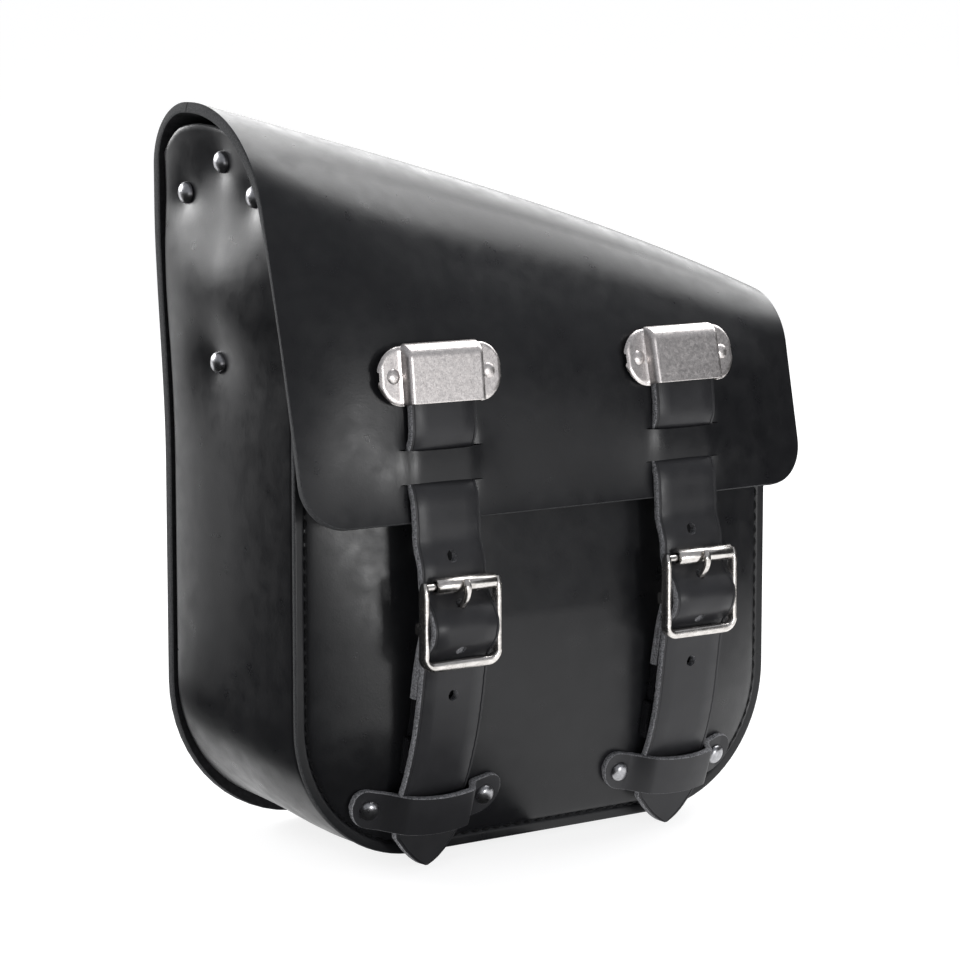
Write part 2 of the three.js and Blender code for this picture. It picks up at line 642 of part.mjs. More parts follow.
// ---- keeper loops -------------------------------------------------------------------------------
// Local frame: on the front panel, bowing out towards -Y over the strap.
function keeperLoop() {
  const outer = [
    [40, LOOP_THICK], [26.2, LOOP_THICK], [24.4, LOOP_RISE - 1], [21, LOOP_RISE + 2.2],
    [12, LOOP_RISE + LOOP_THICK],
  ];
  const inner = [[40, 0], [23.6, 0], [21.4, LOOP_RISE - 2.4], [19.6, LOOP_RISE - 0.2], [12, LOOP_RISE]];
  const mirror = (points) => points.map(([x, y]) => [-x, y]);
  const profile = [
    ...outer, ...mirror(outer).reverse(), ...mirror(inner), ...inner.slice().reverse(),
  ];
  const band = extrude(new THREE.Shape(profile.map(([x, y]) => new THREE.Vector2(x, -y))), LOOP_HEIGHT)
    .translate(0, 0, -LOOP_HEIGHT / 2);
  return common(band, prismY(stadium(80, LOOP_HEIGHT), -30, 5));
}

function onPanel(x) {
  return new THREE.Matrix4().makeTranslation(x, LOOP_Y - GAP, LOOP_Z)
    .multiply(new THREE.Matrix4().makeRotationX(LOOP_TILT));
}

function loopRivet(x) {
  return rivet(LOOP_THICK + GAP + LEATHER + 3).rotateX(Math.PI).translate(x, -LOOP_THICK - GAP, 0);
}

function loopRivetHole(x, side) {
  return new THREE.CylinderGeometry(RIVET_SHANK + GAP, RIVET_SHANK + GAP, 30, SIDES)
    .translate(side * LOOP_RIVET_X, 0, 0).applyMatrix4(onPanel(x));
}

function onFlap(x) {
  const lean = Math.atan2(flapY(x, PLATE_Z - 10) - flapY(x, PLATE_Z + 10), 20);
  return new THREE.Matrix4().makeTranslation(x, flapY(x, PLATE_Z) - PLATE_STANDOFF, PLATE_Z)
    .multiply(new THREE.Matrix4().makeRotationX(lean));
}

function plateRivetHole(x, side) {
  return new THREE.CylinderGeometry(RIVET_SHANK + GAP, RIVET_SHANK + GAP, 24, SIDES)
    .translate(side * PLATE_RIVET_X, 0, 0).applyMatrix4(onFlap(x));
}

function plateRivet(side) {
  return rivet(PLATE_THICK + GAP * 2 + 0.8 + LEATHER).scale(0.85, 0.7, 0.85).rotateX(Math.PI)
    .translate(side * PLATE_RIVET_X, -PLATE_THICK - GAP, 0);
}

// ---- the assembly -------------------------------------------------------------------------------
const BLACK = { color: 0x17181a, roughness: 0.45, metalness: 0 };
const EDGE_BLACK = { color: 0x1d1e20, roughness: 0.5, metalness: 0 };
const NICKEL = { color: 0xb9b6b0, roughness: 0.35, metalness: 1 };
const GUNMETAL = { color: 0x55575c, roughness: 0.35, metalness: 1 };
const BRIGHT = { color: 0xd2cfca, roughness: 0.2, metalness: 1 };
const PLASTIC = { color: 0x101113, roughness: 0.3, metalness: 0 };
const BOARD = { color: 0x25262a, roughness: 0.7, metalness: 0 };

const bag = new THREE.Group();
bag.position.y = CENTRE_Y;

function add(name, geometry, finish) {
  const mesh = new THREE.Mesh(closed(geometry), new THREE.MeshStandardMaterial(finish));
  mesh.name = name;
  bag.add(mesh);
}

const SIDE_NAMES = [['left', -1], ['right', 1]];
const strapPlaces = Object.entries(STRAP_X);
const screwHoles = SCREWS.map(([x, z]) => barY(SCREW_SHANK + GAP, 20, 80, x, z));
const loopHoles = strapPlaces.flatMap(([, x]) => [-1, 1].map((side) => loopRivetHole(x, side)));
const plateHoles = strapPlaces.flatMap(([, x]) => [-1, 1].map((side) => plateRivetHole(x, side)));
const slits = strapPlaces.flatMap(([, x]) => [[188.5, 199.5], [171.5, 182.5]]
  .map(([z0, z1]) => box(x - 20.5, x + 20.5, -120, -60, z0, z1)));
const sideHoles = SIDE_NAMES.flatMap(([, side]) => sideRivetPlaces(side)
  .map((place) => sideRivetHole(side, place)));

add('back_panel', cut(backPanel(), ...screwHoles), BLACK);
add('ridge_roll', ridgeRoll(), BLACK);
add('flap', cut(flap(), ...slits, ...plateHoles), BLACK);
add('gusset', cut(gusset(), ...sideHoles), BLACK);
add('front_panel', cut(frontPanel(), ...loopHoles), BLACK);
add('back_stiffener', cut(stiffener(), ...screwHoles), BOARD);
SCREWS.forEach((place, i) => add(`mounting_screw_${i + 1}`, mountingScrew(place), GUNMETAL));

for (const [name, side] of SIDE_NAMES) {
  const places = sideRivetPlaces(side);
  add(`side_stay_${name}`, cut(sideStay(side), ...places.map((place) => sideRivetHole(side, place))), BOARD);
  places.forEach((place, i) => add(`side_rivet_${name}_${i + 1}`, sideRivet(side, place), GUNMETAL));
}

for (const [name, x] of strapPlaces) {
  const plateFrame = onFlap(x);
  const loopFrame = onPanel(x);
  const plate = strapPlate().applyMatrix4(plateFrame);
  add(`strap_plate_${name}`, cut(plate, plateRivetHole(x, -1), plateRivetHole(x, 1)), NICKEL);
  const loop = keeperLoop().applyMatrix4(loopFrame);
  add(`keeper_loop_${name}`, cut(loop, loopRivetHole(x, -1), loopRivetHole(x, 1)), EDGE_BLACK);
  [-1, 1].forEach((side, i) => {
    add(`plate_rivet_${name}_${i + 1}`, plateRivet(side).applyMatrix4(plateFrame), NICKEL);
    add(`loop_rivet_${name}_${i + 1}`, loopRivet(side * LOOP_RIVET_X).applyMatrix4(loopFrame), GUNMETAL);
  });
  add(`strap_upper_${name}`, strip(upperStrapLine(x), STRAP_THICK, x, STRAP_WIDTH), EDGE_BLACK);
  add(`strap_lower_${name}`, lowerStrap(x), EDGE_BLACK);
  add(`buckle_frame_${name}`, buckleFrame(x), BRIGHT);
  add(`buckle_roller_${name}`, roller(x), BRIGHT);
  add(`buckle_prong_${name}`, prong(x), BRIGHT);
  add(`buckle_chape_${name}`, chape(x), EDGE_BLACK);
  add(`clip_plug_${name}`, clipPlug().applyMatrix4(behindStrap(x)), PLASTIC);
  add(`clip_socket_${name}`, clipSocket().applyMatrix4(behindStrap(x)), PLASTIC);
  add(`clip_tab_${name}`, clipTab(x), EDGE_BLACK);
}

export default bag;
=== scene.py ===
"""Looks of the leather saddlebag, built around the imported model.

Shapes are worked out in the bag's own millimetres (X across, -Y front, Z up) and placed by build().
"""

import json
from math import atan2, copysign, cos, exp, hypot, pi, radians, sin, sqrt

import bmesh
import bpy
import numpy as np
from mathutils import Matrix, Vector


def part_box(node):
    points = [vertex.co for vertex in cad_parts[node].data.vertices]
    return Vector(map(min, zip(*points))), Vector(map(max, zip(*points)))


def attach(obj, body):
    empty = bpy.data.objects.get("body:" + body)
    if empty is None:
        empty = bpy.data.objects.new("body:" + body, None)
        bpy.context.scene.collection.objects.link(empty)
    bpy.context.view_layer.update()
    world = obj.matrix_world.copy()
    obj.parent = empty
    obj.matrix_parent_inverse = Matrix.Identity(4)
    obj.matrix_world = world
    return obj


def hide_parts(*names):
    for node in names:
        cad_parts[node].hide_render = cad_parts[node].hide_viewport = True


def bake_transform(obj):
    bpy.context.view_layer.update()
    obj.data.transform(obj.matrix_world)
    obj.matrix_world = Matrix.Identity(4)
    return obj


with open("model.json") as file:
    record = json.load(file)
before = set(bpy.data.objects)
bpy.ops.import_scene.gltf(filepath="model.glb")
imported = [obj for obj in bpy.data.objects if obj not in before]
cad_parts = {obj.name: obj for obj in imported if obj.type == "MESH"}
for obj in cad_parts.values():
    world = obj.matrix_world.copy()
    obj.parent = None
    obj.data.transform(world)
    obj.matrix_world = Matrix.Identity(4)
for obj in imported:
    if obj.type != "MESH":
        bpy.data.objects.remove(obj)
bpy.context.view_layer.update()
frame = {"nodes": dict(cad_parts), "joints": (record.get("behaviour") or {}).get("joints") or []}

# ---- sizes, in millimetres ----
MM = 0.001
HEAVY = 5.0               # leather of the back, ridge and flap
LIGHT = 2.6               # leather of the front panel and gusset
RIM = 0.5                 # how far a cut leather edge stands out
HALF_WIDTH = 145          # flap, and the back panel at its top
LOW_HALF_WIDTH = 140.5    # the back panel lower down
NARROWS = (45, 170)       # it narrows between these distances under the ridge
SEAM_HALF_WIDTH = 138     # gusset and front panel
BACK_Y = 50               # outer face of the back panel
SEAM_Y = -58.5            # outer face of the front panel's sewn border
SEAM_CORNER = 66
BACK_CORNER = 73
GUSSET_BACK_CORNER = 69   # the gusset's corner is rounder at the back
GUSSET_LIFT = (6.5, 0.4)  # height of the gusset's bottom at its back and front edges
CENTRE_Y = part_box("back_panel")[1].y / MM - BACK_Y

RIDGE_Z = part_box("ridge_roll")[1].z / MM
RIDGE_SLOPE = 81          # the ridge falls evenly, and faster towards the short end
RIDGE_DROP = 13
RIDGE_POWER = 3.6
BACK_ROLL = 30            # radius of the ridge's back edge
ROLL_CENTRE_Y = 20
FRONT_ROLL = (62, 33)     # radius of its front edge, at the tall end and at the short end
FRONT_CENTRE_Y = (16, -33.9)
FLAP_LEAN = radians(13)
ROLL_END = pi / 2 - FLAP_LEAN
FLAP_EDGE_Y = -80
FLAP_EDGE_Z = 160
FLAP_CORNER = 20
FLAP_BULGE = 0.096        # how far the flap's middle stands forward, for each unit of its drop

DOME = 21                 # how far the front panel is moulded forward
DOME_BORDER = 5.2         # width of its flat border, where the stitches are
DOME_RISE = 100
DOME_SHAPE = 0.8
DOME_FULL_Z = 110
DOME_END_Z = 290
PANEL_TOP_Z = (285, 205)  # left and right
UNDER_FLAP = 1.5          # room between the flap and the panel

STRAP_HALF = 18
STRAP_THICK = 3.8
TIP_LENGTH = 15.5         # of the strap's pointed end
TIP_Z = -3.4              # the strap tips hang lower than the bag
CREASE_AT = 1.7           # distance of a strap's creases from its edges
HOLE_RADIUS = 2.7
SLITS_Z = (192.7, 176.9)
SLIT_HALF = 22.6
SLIT_HEIGHT = 1.5
BRIDGE_Z = sum(SLITS_Z) / 2

ROLLER_Y, ROLLER_Z, ROLLER_RADIUS = -97, 132, 3.75
CENTRE_BAR_Y, CENTRE_BAR_Z = -94, 113
BOTTOM_BAR_Z = 95.5
BAR_RADIUS = 1.7
ARM_X = 20.4
PLATE_Z = 226
PLATE_HALF = 32.3
PLATE_HALF_HEIGHT = 13
PLATE_THICK = 1.5
PLATE_RISE = 5.4          # of its raised middle, which ends at the next two distances
PLATE_WALL_X = 20.1
PLATE_END_X = 20.3
PLATE_RIVET_X = 25.8
PLATE_LEAN = 0.75         # the plate stands a little straighter than the flap
PLATE_TURN = 0.4          # and turns less than the flap's curve at its place
CHAPE_HALF = 17
CHAPE_THICK = 2.6
LOOP_Z = 21.5
LOOP_HALF = 40
LOOP_HALF_HEIGHT = 8.9
LOOP_THICK = 3.2
LOOP_RIVET_X = 31.2
LOOP_CURVE = 4.0          # how much higher the loop's rivets are than its middle
LOOP_SHIFT = {"left": 1.5, "right": 4.5}      # the loops sit a little to the right of their straps
STRAP_DRIFT = {"left": -0.5, "right": 2.0}    # the straps hang a little askew
STITCH_PITCH = 6.2
BACK_STITCH_IN = 10       # the back seam's distance from the edge
THREAD_RADIUS = 0.85
THREAD_TURNS = 7          # of a mounting screw
SIDES = {"left": -1, "right": 1}
STRAP_X = {name: sum(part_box(f"buckle_roller_{name}"), Vector()).x / 2 / MM for name in SIDES}


# ---- small helpers ----
def lerp(a, b, t):
    return a + (b - a) * t


def clamp(value, low=0.0, high=1.0):
    return max(low, min(high, value))


def ease(low, high, value):
    t = clamp((value - low) / (high - low))
    return t * t * (3 - 2 * t)


def unit(vectors):
    return vectors / np.maximum(np.linalg.norm(vectors, axis=-1, keepdims=True), 1e-9)


def distances(line):
    """How far along a line each of its points is."""
    return np.concatenate([[0], np.cumsum(np.linalg.norm(np.diff(line, axis=0), axis=1))])


def points_at(line, run, at):
    return np.stack([np.interp(at, run, line[:, k]) for k in range(line.shape[1])], axis=1)


def curve_through(points, spacing):
    """Points about that far apart on a smooth curve through the given ones."""
    p = np.array(points, float)
    p = np.vstack([2 * p[0] - p[1], p, 2 * p[-1] - p[-2]])
    dense = []
    for i in range(1, len(p) - 2):
        for t in np.linspace(0, 1, 24, endpoint=False):
            a, b, c, d = p[i - 1:i + 3]
            dense.append(0.5 * (2 * b + (c - a) * t + (2 * a - 5 * b + 4 * c - d) * t**2
                                + (3 * b - a - 3 * c + d) * t**3))
    dense.append(p[-2])
    dense = np.array(dense)
    run = distances(dense)
    return points_at(dense, run, np.linspace(0, run[-1], max(2, round(run[-1] / spacing) + 1)))


# ---- meshes ----
def add_object(name, data):
    obj = bpy.data.objects.new(name, data)
    bpy.context.scene.collection.objects.link(obj)
    return obj


def add_mesh(name, points, faces, materials):
    mesh = bpy.data.meshes.new(name)
    mesh.from_pydata(points, [], faces)
    for material in materials:
        mesh.materials.append(material)
    return add_object(name, mesh)


def build(name, shape, materials, sharp=38):
    """A mesh object from a shape in the bag's millimetres. A shape is (points, faces), and may have
    marks that pick each face's material."""
    points, faces, *marks = shape
    placed = (np.asarray(points, float) + (0, CENTRE_Y, 0)) * MM
    obj = add_mesh(name, placed.tolist(), [list(f) for f in faces], materials)
    for numbers in marks:
        obj.data.polygons.foreach_set("material_index", list(numbers))
    tidy(obj, sharp)
    return obj


def stand_for(obj, slot, body, *nodes):
    """Hides the CAD nodes a piece stands for and hangs it on the body it rides on; slot is not
    used.
    """
    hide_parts(*nodes)
    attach(obj, body)


def tidy(obj, sharp=38):
    """Merges doubled points, turns faces outwards and marks sharp edges."""
    bm = bmesh.new()
    bm.from_mesh(obj.data)
    bmesh.ops.remove_doubles(bm, verts=bm.verts, dist=2e-6)
    bmesh.ops.dissolve_degenerate(bm, edges=bm.edges, dist=1e-6)
    bmesh.ops.recalc_face_normals(bm, faces=bm.faces)
    limit = radians(sharp)
    for face in bm.faces:
        face.smooth = True
    for edge in bm.edges:
        edge.smooth = not edge.is_manifold or edge.calc_face_angle(0) < limit
    bm.to_mesh(obj.data)
    bm.free()
    obj.data.update()


def sheet(grid, thickness=HEAVY, rim=RIM, joined_rows=(), closed_rows=()):
    """A leather sheet behind a grid of outer points, with rounded cut edges.

    Returns points, faces and marks: 0 grain side, 1 cut edge, 2 flesh side.
    joined_rows are border rows where the sheet goes on in another piece, so its edge stays flat;
    closed_rows are those where both halves of the row meet, so there is no edge.
    """
    grid = np.asarray(grid, float)
    rows, cols = grid.shape[:2]
    normal = unit(np.cross(np.gradient(grid, axis=1), np.gradient(grid, axis=0)))
    points = [grid.reshape(-1, 3), (grid - normal * thickness).reshape(-1, 3)]
    count = rows * cols
    faces, marks = [], []
    for i in range(rows - 1):
        for j in range(cols - 1):
            a, b = i * cols + j, (i + 1) * cols + j
            faces += [(a, a + 1, b + 1, b), (count + a, count + b, count + b + 1, count + a + 1)]
            marks += [0, 2]
    loop = [(0, j) for j in range(cols)] + [(i, cols - 1) for i in range(1, rows)]
    loop += [(rows - 1, j) for j in range(cols - 2, -1, -1)]
    loop += [(i, 0) for i in range(rows - 2, 0, -1)]
    at = tuple(np.array(loop).T)
    border, facing = grid[at], normal[at]
    outward = unit(np.cross(np.roll(border, -1, 0) - np.roll(border, 1, 0), facing))
    reach = np.array([0.0 if i in joined_rows else rim for i, _ in loop])[:, None]
    rings = [[i * cols + j for i, j in loop]]
    for depth, out in ((0.07, 0.6), (0.22, 0.95), (0.5, 1.05), (0.78, 0.95), (0.93, 0.6)):
        first = sum(len(p) for p in points)
        points.append(border - facing * thickness * depth + outward * reach * out)
        rings.append(list(range(first, first + len(loop))))
    rings.append([count + k for k in rings[0]])
    for near, far in zip(rings, rings[1:]):
        for k in range(len(loop)):
            n = (k + 1) % len(loop)
            if loop[k][0] in closed_rows and loop[n][0] in closed_rows:
                continue
            faces.append((near[k], far[k], far[n], near[n]))
            marks.append(1)
    return np.vstack(points), faces, marks


def sweep(path, side, section):
    """A solid along a flat path. side is the direction square to the path's plane, and
    section(share, distance) lists (along side, outwards, mark) round the piece at that place."""
    path = np.asarray(path, float)
    side = np.asarray(side, float)
    tangent = unit(np.gradient(path, axis=0))
    normal = unit(np.cross(tangent, side))
    run = distances(path)
    points, faces, marks = [], [], []
    for p, n, distance in zip(path, normal, run):
        ring = section(distance / run[-1], distance)
        points += [p + side * s + n * out for s, out, _ in ring]
    size = len(ring)
    for i in range(len(path) - 1):
        for k in range(size):
            n = (k + 1) % size
            faces.append((i * size + k, (i + 1) * size + k, (i + 1) * size + n, i * size + n))
            marks.append(ring[k][2])
    faces += [tuple(range(size)), tuple(range(len(points) - size, len(points)))[::-1]]
    marks += [1, 1]
    return np.array(points), faces, marks


def rounded(half_side, half_out, power=4, count=20):
    """A rounded-rectangle section; power 2 is an ellipse."""
    ring = []
    for k in range(count):
        a = 2 * pi * k / count
        c, s = cos(a), sin(a)
        ring.append((half_side * copysign(abs(c) ** (2 / power), c),
                     half_out * copysign(abs(s) ** (2 / power), s), 0))
    return ring


def lathe(profile, segments=36):
    """A turned solid round local -Y: profile lists (radius, height); heights grow towards -Y."""
    points, faces = [], []
    for radius, height in profile:
        for k in range(segments):
            a = 2 * pi * k / segments
            points.append((radius * cos(a), -height, radius * sin(a)))
    for i in range(len(profile) - 1):
        for k in range(segments):
            n = (k + 1) % segments
            faces.append((i * segments + k, (i + 1) * segments + k, (i + 1) * segments + n,
                          i * segments + n))
    return np.array(points), faces


def join_parts(*parts):
    """Joins (points, faces, marks) lists into one."""
    points, faces, marks, start = [], [], [], 0
    for part in parts:
        p, f = part[0], part[1]
        points.append(np.asarray(p, float))
        faces += [tuple(k + start for k in face) for face in f]
        marks += list(part[2]) if len(part) > 2 else [0] * len(f)
        start += len(p)
    return np.vstack(points), faces, marks


def moved(shape, matrix):
    """A shape after a matrix."""
    points, *rest = shape
    return np.array([list(matrix @ Vector(p)) for p in points]), *rest


def placement(x, y, z, turn=0.0, tilt=0.0):
    """A matrix that tilts a shape round X, turns it round Z and moves it."""
    spin = Matrix.Rotation(turn, 4, "Z") @ Matrix.Rotation(tilt, 4, "X")
    return Matrix.Translation((x, y, z)) @ spin


def frame_joint(name):
    return next(j for j in frame["joints"] if j["name"] == name)


def cut(obj, cutters):
    """Subtracts closed (points, faces) tools; the new walls take the cutter's finish, slot 1."""
    for index, (points, faces) in enumerate(cutters):
        tool = build(f"tool_{index}", (points, faces, [1] * len(faces)), list(obj.data.materials))
        change = obj.modifiers.new("cut", "BOOLEAN")
        change.object = tool
        change.operation = "DIFFERENCE"
        change.solver = "EXACT"
        evaluated = obj.evaluated_get(bpy.context.evaluated_depsgraph_get())
        result = bpy.data.meshes.new_from_object(evaluated)
        obj.modifiers.clear()
        obj.data = result
        bpy.data.objects.remove(tool)
    tidy(obj)


def box_tool(low, high):
    """A box-shaped cutter."""
    points = [(x, y, z) for z in (low[2], high[2]) for y in (low[1], high[1])
              for x in (low[0], high[0])]
    faces = [(0, 2, 3, 1), (4, 5, 7, 6), (0, 1, 5, 4), (2, 6, 7, 3), (0, 4, 6, 2), (1, 3, 7, 5)]
    return points, faces


def prism(near, far):
    """A closed solid between two outlines with the same number of points."""
    count = len(near)
    faces = [tuple(range(count)), tuple(range(count, 2 * count))[::-1]]
    faces += [(k, count + k, count + (k + 1) % count, (k + 1) % count) for k in range(count)]
    return near + far, faces


def rod_tool(radius, start, end, segments=28):
    """A round cutter between two points."""
    start, end = Vector(start), Vector(end)
    axis = (end - start).normalized()
    across = axis.orthogonal().normalized()
    up = axis.cross(across)
    ends = []
    for centre in (start, end):
        turns = [2 * pi * k / segments for k in range(segments)]
        ends.append([tuple(centre + across * radius * cos(a) + up * radius * sin(a))
                     for a in turns])
    return prism(*ends)


# ---- materials ----
class Finish:
    """A node material being put together."""

    def __init__(self, name, color, roughness, metallic=0.0, specular=0.5, glow=0.0):
        self.material = bpy.data.materials.new(name)
        self.material.use_nodes = True
        self.material.diffuse_color = (*color, 1)
        self.nodes = self.material.node_tree.nodes
        self.links = self.material.node_tree.links
        self.shader = self.nodes["Principled BSDF"]
        numbers = {"Base Color": (*color, 1), "Roughness": roughness, "Metallic": metallic,
                   "Specular IOR Level": specular, "Emission Color": (1, 1, 1, 1),
                   "Emission Strength": glow}
        for socket, number in numbers.items():
            self.shader.inputs[socket].default_value = number
        self.where = self.nodes.new("ShaderNodeTexCoord").outputs["Object"]
        self.normal = None

    def add(self, kind, links, **numbers):
        """A new node, with some of its inputs linked and some set."""
        node = self.nodes.new("ShaderNode" + kind)
        for socket, number in numbers.items():
            node.inputs[socket].default_value = number
        for socket, source in links.items():
            self.links.new(source, node.inputs[socket])
        return node

    def noise(self, size, detail=3.0, distortion=0.0, stretch=(1, 1, 1)):
        """Cloudy noise whose spots are about size millimetres."""
        scaled = self.add("Mapping", {"Vector": self.where}, Scale=stretch).outputs["Vector"]
        return self.add("TexNoise", {"Vector": scaled}, Scale=1 / (size * MM), Detail=detail,
                        Distortion=distortion).outputs["Fac"]

    def cells(self, size):
        node = self.add("TexVoronoi", {"Vector": self.where}, Scale=1 / (size * MM))
        return node.outputs["Distance"]

    def range(self, value, from_low, from_high, to_low, to_high):
        node = self.nodes.new("ShaderNodeMapRange")
        for socket, number in zip(node.inputs[1:5], (from_low, from_high, to_low, to_high)):
            socket.default_value = number
        self.links.new(value, node.inputs["Value"])
        return node.outputs["Result"]

    def color_between(self, noise, from_low, from_high, low, high):
        node = self.nodes.new("ShaderNodeMix")
        node.data_type = "RGBA"
        node.inputs["A"].default_value = (*low, 1)
        node.inputs["B"].default_value = (*high, 1)
        share = self.range(noise, from_low, from_high, 0, 1)
        self.links.new(share, node.inputs["Factor"])
        self.links.new(node.outputs["Result"], self.shader.inputs["Base Color"])

    def rough(self, noise, low, high):
        value = self.range(noise, 0.3, 0.7, low, high)
        self.links.new(value, self.shader.inputs["Roughness"])

    def bump(self, height, strength, distance):
        below = {} if self.normal is None else {"Normal": self.normal}
        node = self.add("Bump", {"Height": height, **below}, Strength=strength,
                        Distance=distance * MM)
        self.normal = node.outputs["Normal"]
        self.links.new(self.normal, self.shader.inputs["Normal"])


def leather(name, color, light, roughness):
    """Smooth black saddle leather: fine grain, faint cloudy wear."""
    finish = Finish(name, color, roughness, specular=0.4)
    finish.color_between(finish.noise(28, 5), 0.35, 0.75, color, light)
    finish.rough(finish.noise(9, 4), roughness - 0.05, roughness + 0.07)
    finish.bump(finish.noise(14, 3), 0.045, 1.2)
    finish.bump(finish.noise(0.9, 3, 0.4), 0.2, 0.14)
    finish.bump(finish.cells(0.55), 0.09, 0.06)
    return finish.material


def cut_edge(name, color, light):
    """The raw cut edge of leather: matt, fibrous."""
    finish = Finish(name, color, 0.8, specular=0.3)
    finish.color_between(finish.noise(0.7, 5, 0.6), 0.35, 0.7, color, light)
    finish.bump(finish.noise(0.5, 5, 1.0), 0.8, 0.45)
    return finish.material


def flesh_side(name, color, light):
    """The rough inner side of leather."""
    finish = Finish(name, color, 0.9, specular=0.2)
    finish.color_between(finish.noise(2.2, 6), 0.3, 0.7, color, light)
    finish.bump(finish.noise(0.8, 6, 0.8), 0.6, 0.3)
    return finish.material


def metal(name, color, dark, roughness, spread, spots, brushed=(1, 1, 1), wear=1.0):
    """Plated metal with a mottled patina."""
    finish = Finish(name, color, roughness, metallic=1.0)
    finish.color_between(finish.noise(spots, 6, 0.3, brushed), 0.3, 0.66, dark, color)
    finish.rough(finish.noise(spots * 2.5, 5), roughness - spread, roughness + spread)
    finish.bump(finish.noise(spots * 0.5, 4, 0, brushed), 0.22 * wear, 0.08)
    finish.bump(finish.noise(6, 2), 0.12 * wear, 0.3)
    return finish.material


def plastic(name, color, roughness):
    """Moulded plastic or board, slightly uneven."""
    finish = Finish(name, color, roughness)
    finish.rough(finish.noise(5, 3), roughness - 0.05, roughness + 0.08)
    finish.bump(finish.noise(1.2, 2), 0.1, 0.05)
    return finish.material


GRAIN = leather("body_leather", (0.0062, 0.0063, 0.0075), (0.0098, 0.01, 0.0114), 0.32)
STRAP_GRAIN = leather("strap_leather", (0.017, 0.017, 0.019), (0.024, 0.024, 0.0265), 0.4)
DARK_EDGE = cut_edge("dyed_leather_edge", (0.024, 0.0245, 0.026), (0.06, 0.061, 0.064))
RAW_EDGE = cut_edge("raw_leather_edge", (0.06, 0.061, 0.065), (0.34, 0.34, 0.355))
FLESH = flesh_side("flesh_side", (0.006, 0.006, 0.0068), (0.014, 0.014, 0.0155))
THREAD = cut_edge("waxed_thread", (0.001, 0.001, 0.0014), (0.004, 0.004, 0.005))
NICKEL = metal("aged_nickel", (0.88, 0.84, 0.82), (0.6, 0.56, 0.55), 0.36, 0.07, 0.7)
NICKEL_RIM = metal("polished_nickel_rim", (0.86, 0.83, 0.8), (0.6, 0.57, 0.55), 0.22, 0.05, 1.2)
BRIGHT = metal("bright_nickel", (0.84, 0.81, 0.78), (0.6, 0.57, 0.54), 0.23, 0.06, 1.6,
               (0.35, 1, 1))
GUNMETAL = metal("gunmetal", (0.5, 0.5, 0.515), (0.36, 0.36, 0.375), 0.3, 0.04, 1.4, wear=0.3)
PLASTIC = plastic("clip_plastic", (0.008, 0.008, 0.009), 0.22)
BOARD = plastic("stiffener_board", (0.022, 0.022, 0.024), 0.6)
BODY_LEATHER = [GRAIN, DARK_EDGE, FLESH]
STRAP_LEATHER = [STRAP_GRAIN, RAW_EDGE, FLESH]


# ---- the long sheet: back panel, ridge and flap ----
def along(x):
    """Share of the way from the tall end to the short end."""
    return (x + HALF_WIDTH) / (2 * HALF_WIDTH)


def ridge_z(x):
    t = along(x)
    return RIDGE_Z - RIDGE_SLOPE * t - RIDGE_DROP * t**RIDGE_POWER


def front_roll(x):
    return lerp(*FRONT_ROLL, along(x))


def front_centre_y(x):
    return lerp(*FRONT_CENTRE_Y, along(x))


def back_roll_point(x, angle, depth=0.0):
    """A point on the ridge's back edge, or inside it; angle 0 faces back, 90 degrees up."""
    radius = BACK_ROLL - depth
    return (x, ROLL_CENTRE_Y + radius * cos(angle),
            ridge_z(x) - BACK_ROLL + radius * sin(angle))


def front_roll_point(x, angle, depth=0.0):
    """The same for its front edge; angle 0 faces up, 90 degrees forward."""
    radius = front_roll(x) - depth
    return (x, front_centre_y(x) - radius * sin(angle),
            ridge_z(x) - front_roll(x) + radius * cos(angle))


def flap_y(x, z):
    """Outer face of the flap: the second half of the roll, then a straight fall, with the middle
    standing forward of its free ends."""
    _, top_y, top_z = front_roll_point(x, ROLL_END)
    _, _, start_z = front_roll_point(x, pi / 4)
    radius = front_roll(x)
    if z > top_z:
        rise = clamp((z - ridge_z(x) + radius) / radius)
        base = front_centre_y(x) - radius * sqrt(1 - rise**2)
    else:
        base = lerp(top_y, FLAP_EDGE_Y, clamp((top_z - z) / (top_z - FLAP_EDGE_Z)))
    down = clamp((start_z - z) / (start_z - FLAP_EDGE_Z))
    across = max(0.0, 1 - (x / HALF_WIDTH) ** 4)
    forward = FLAP_BULGE * (start_z - FLAP_EDGE_Z) * sin(pi * down**0.88) ** 1.3
    return base - across * (forward + 4 * down)


def corner_half(x, z):
    """Half width of the back panel at a height, on the side where x is."""
    under = ridge_z(copysign(HALF_WIDTH, x)) - z
    half = lerp(HALF_WIDTH, LOW_HALF_WIDTH, ease(*NARROWS, under))
    if z >= BACK_CORNER:
        return half
    return half - BACK_CORNER + sqrt(BACK_CORNER**2 - (BACK_CORNER - z) ** 2)


def ridge_row(across, t):
    """A row along the ridge's flat top, at share t of the way from its back to its front edge."""
    row = []
    for s in across:
        x = s * HALF_WIDTH
        row.append((x, lerp(ROLL_CENTRE_Y, front_centre_y(x), t), ridge_z(x)))
    return row


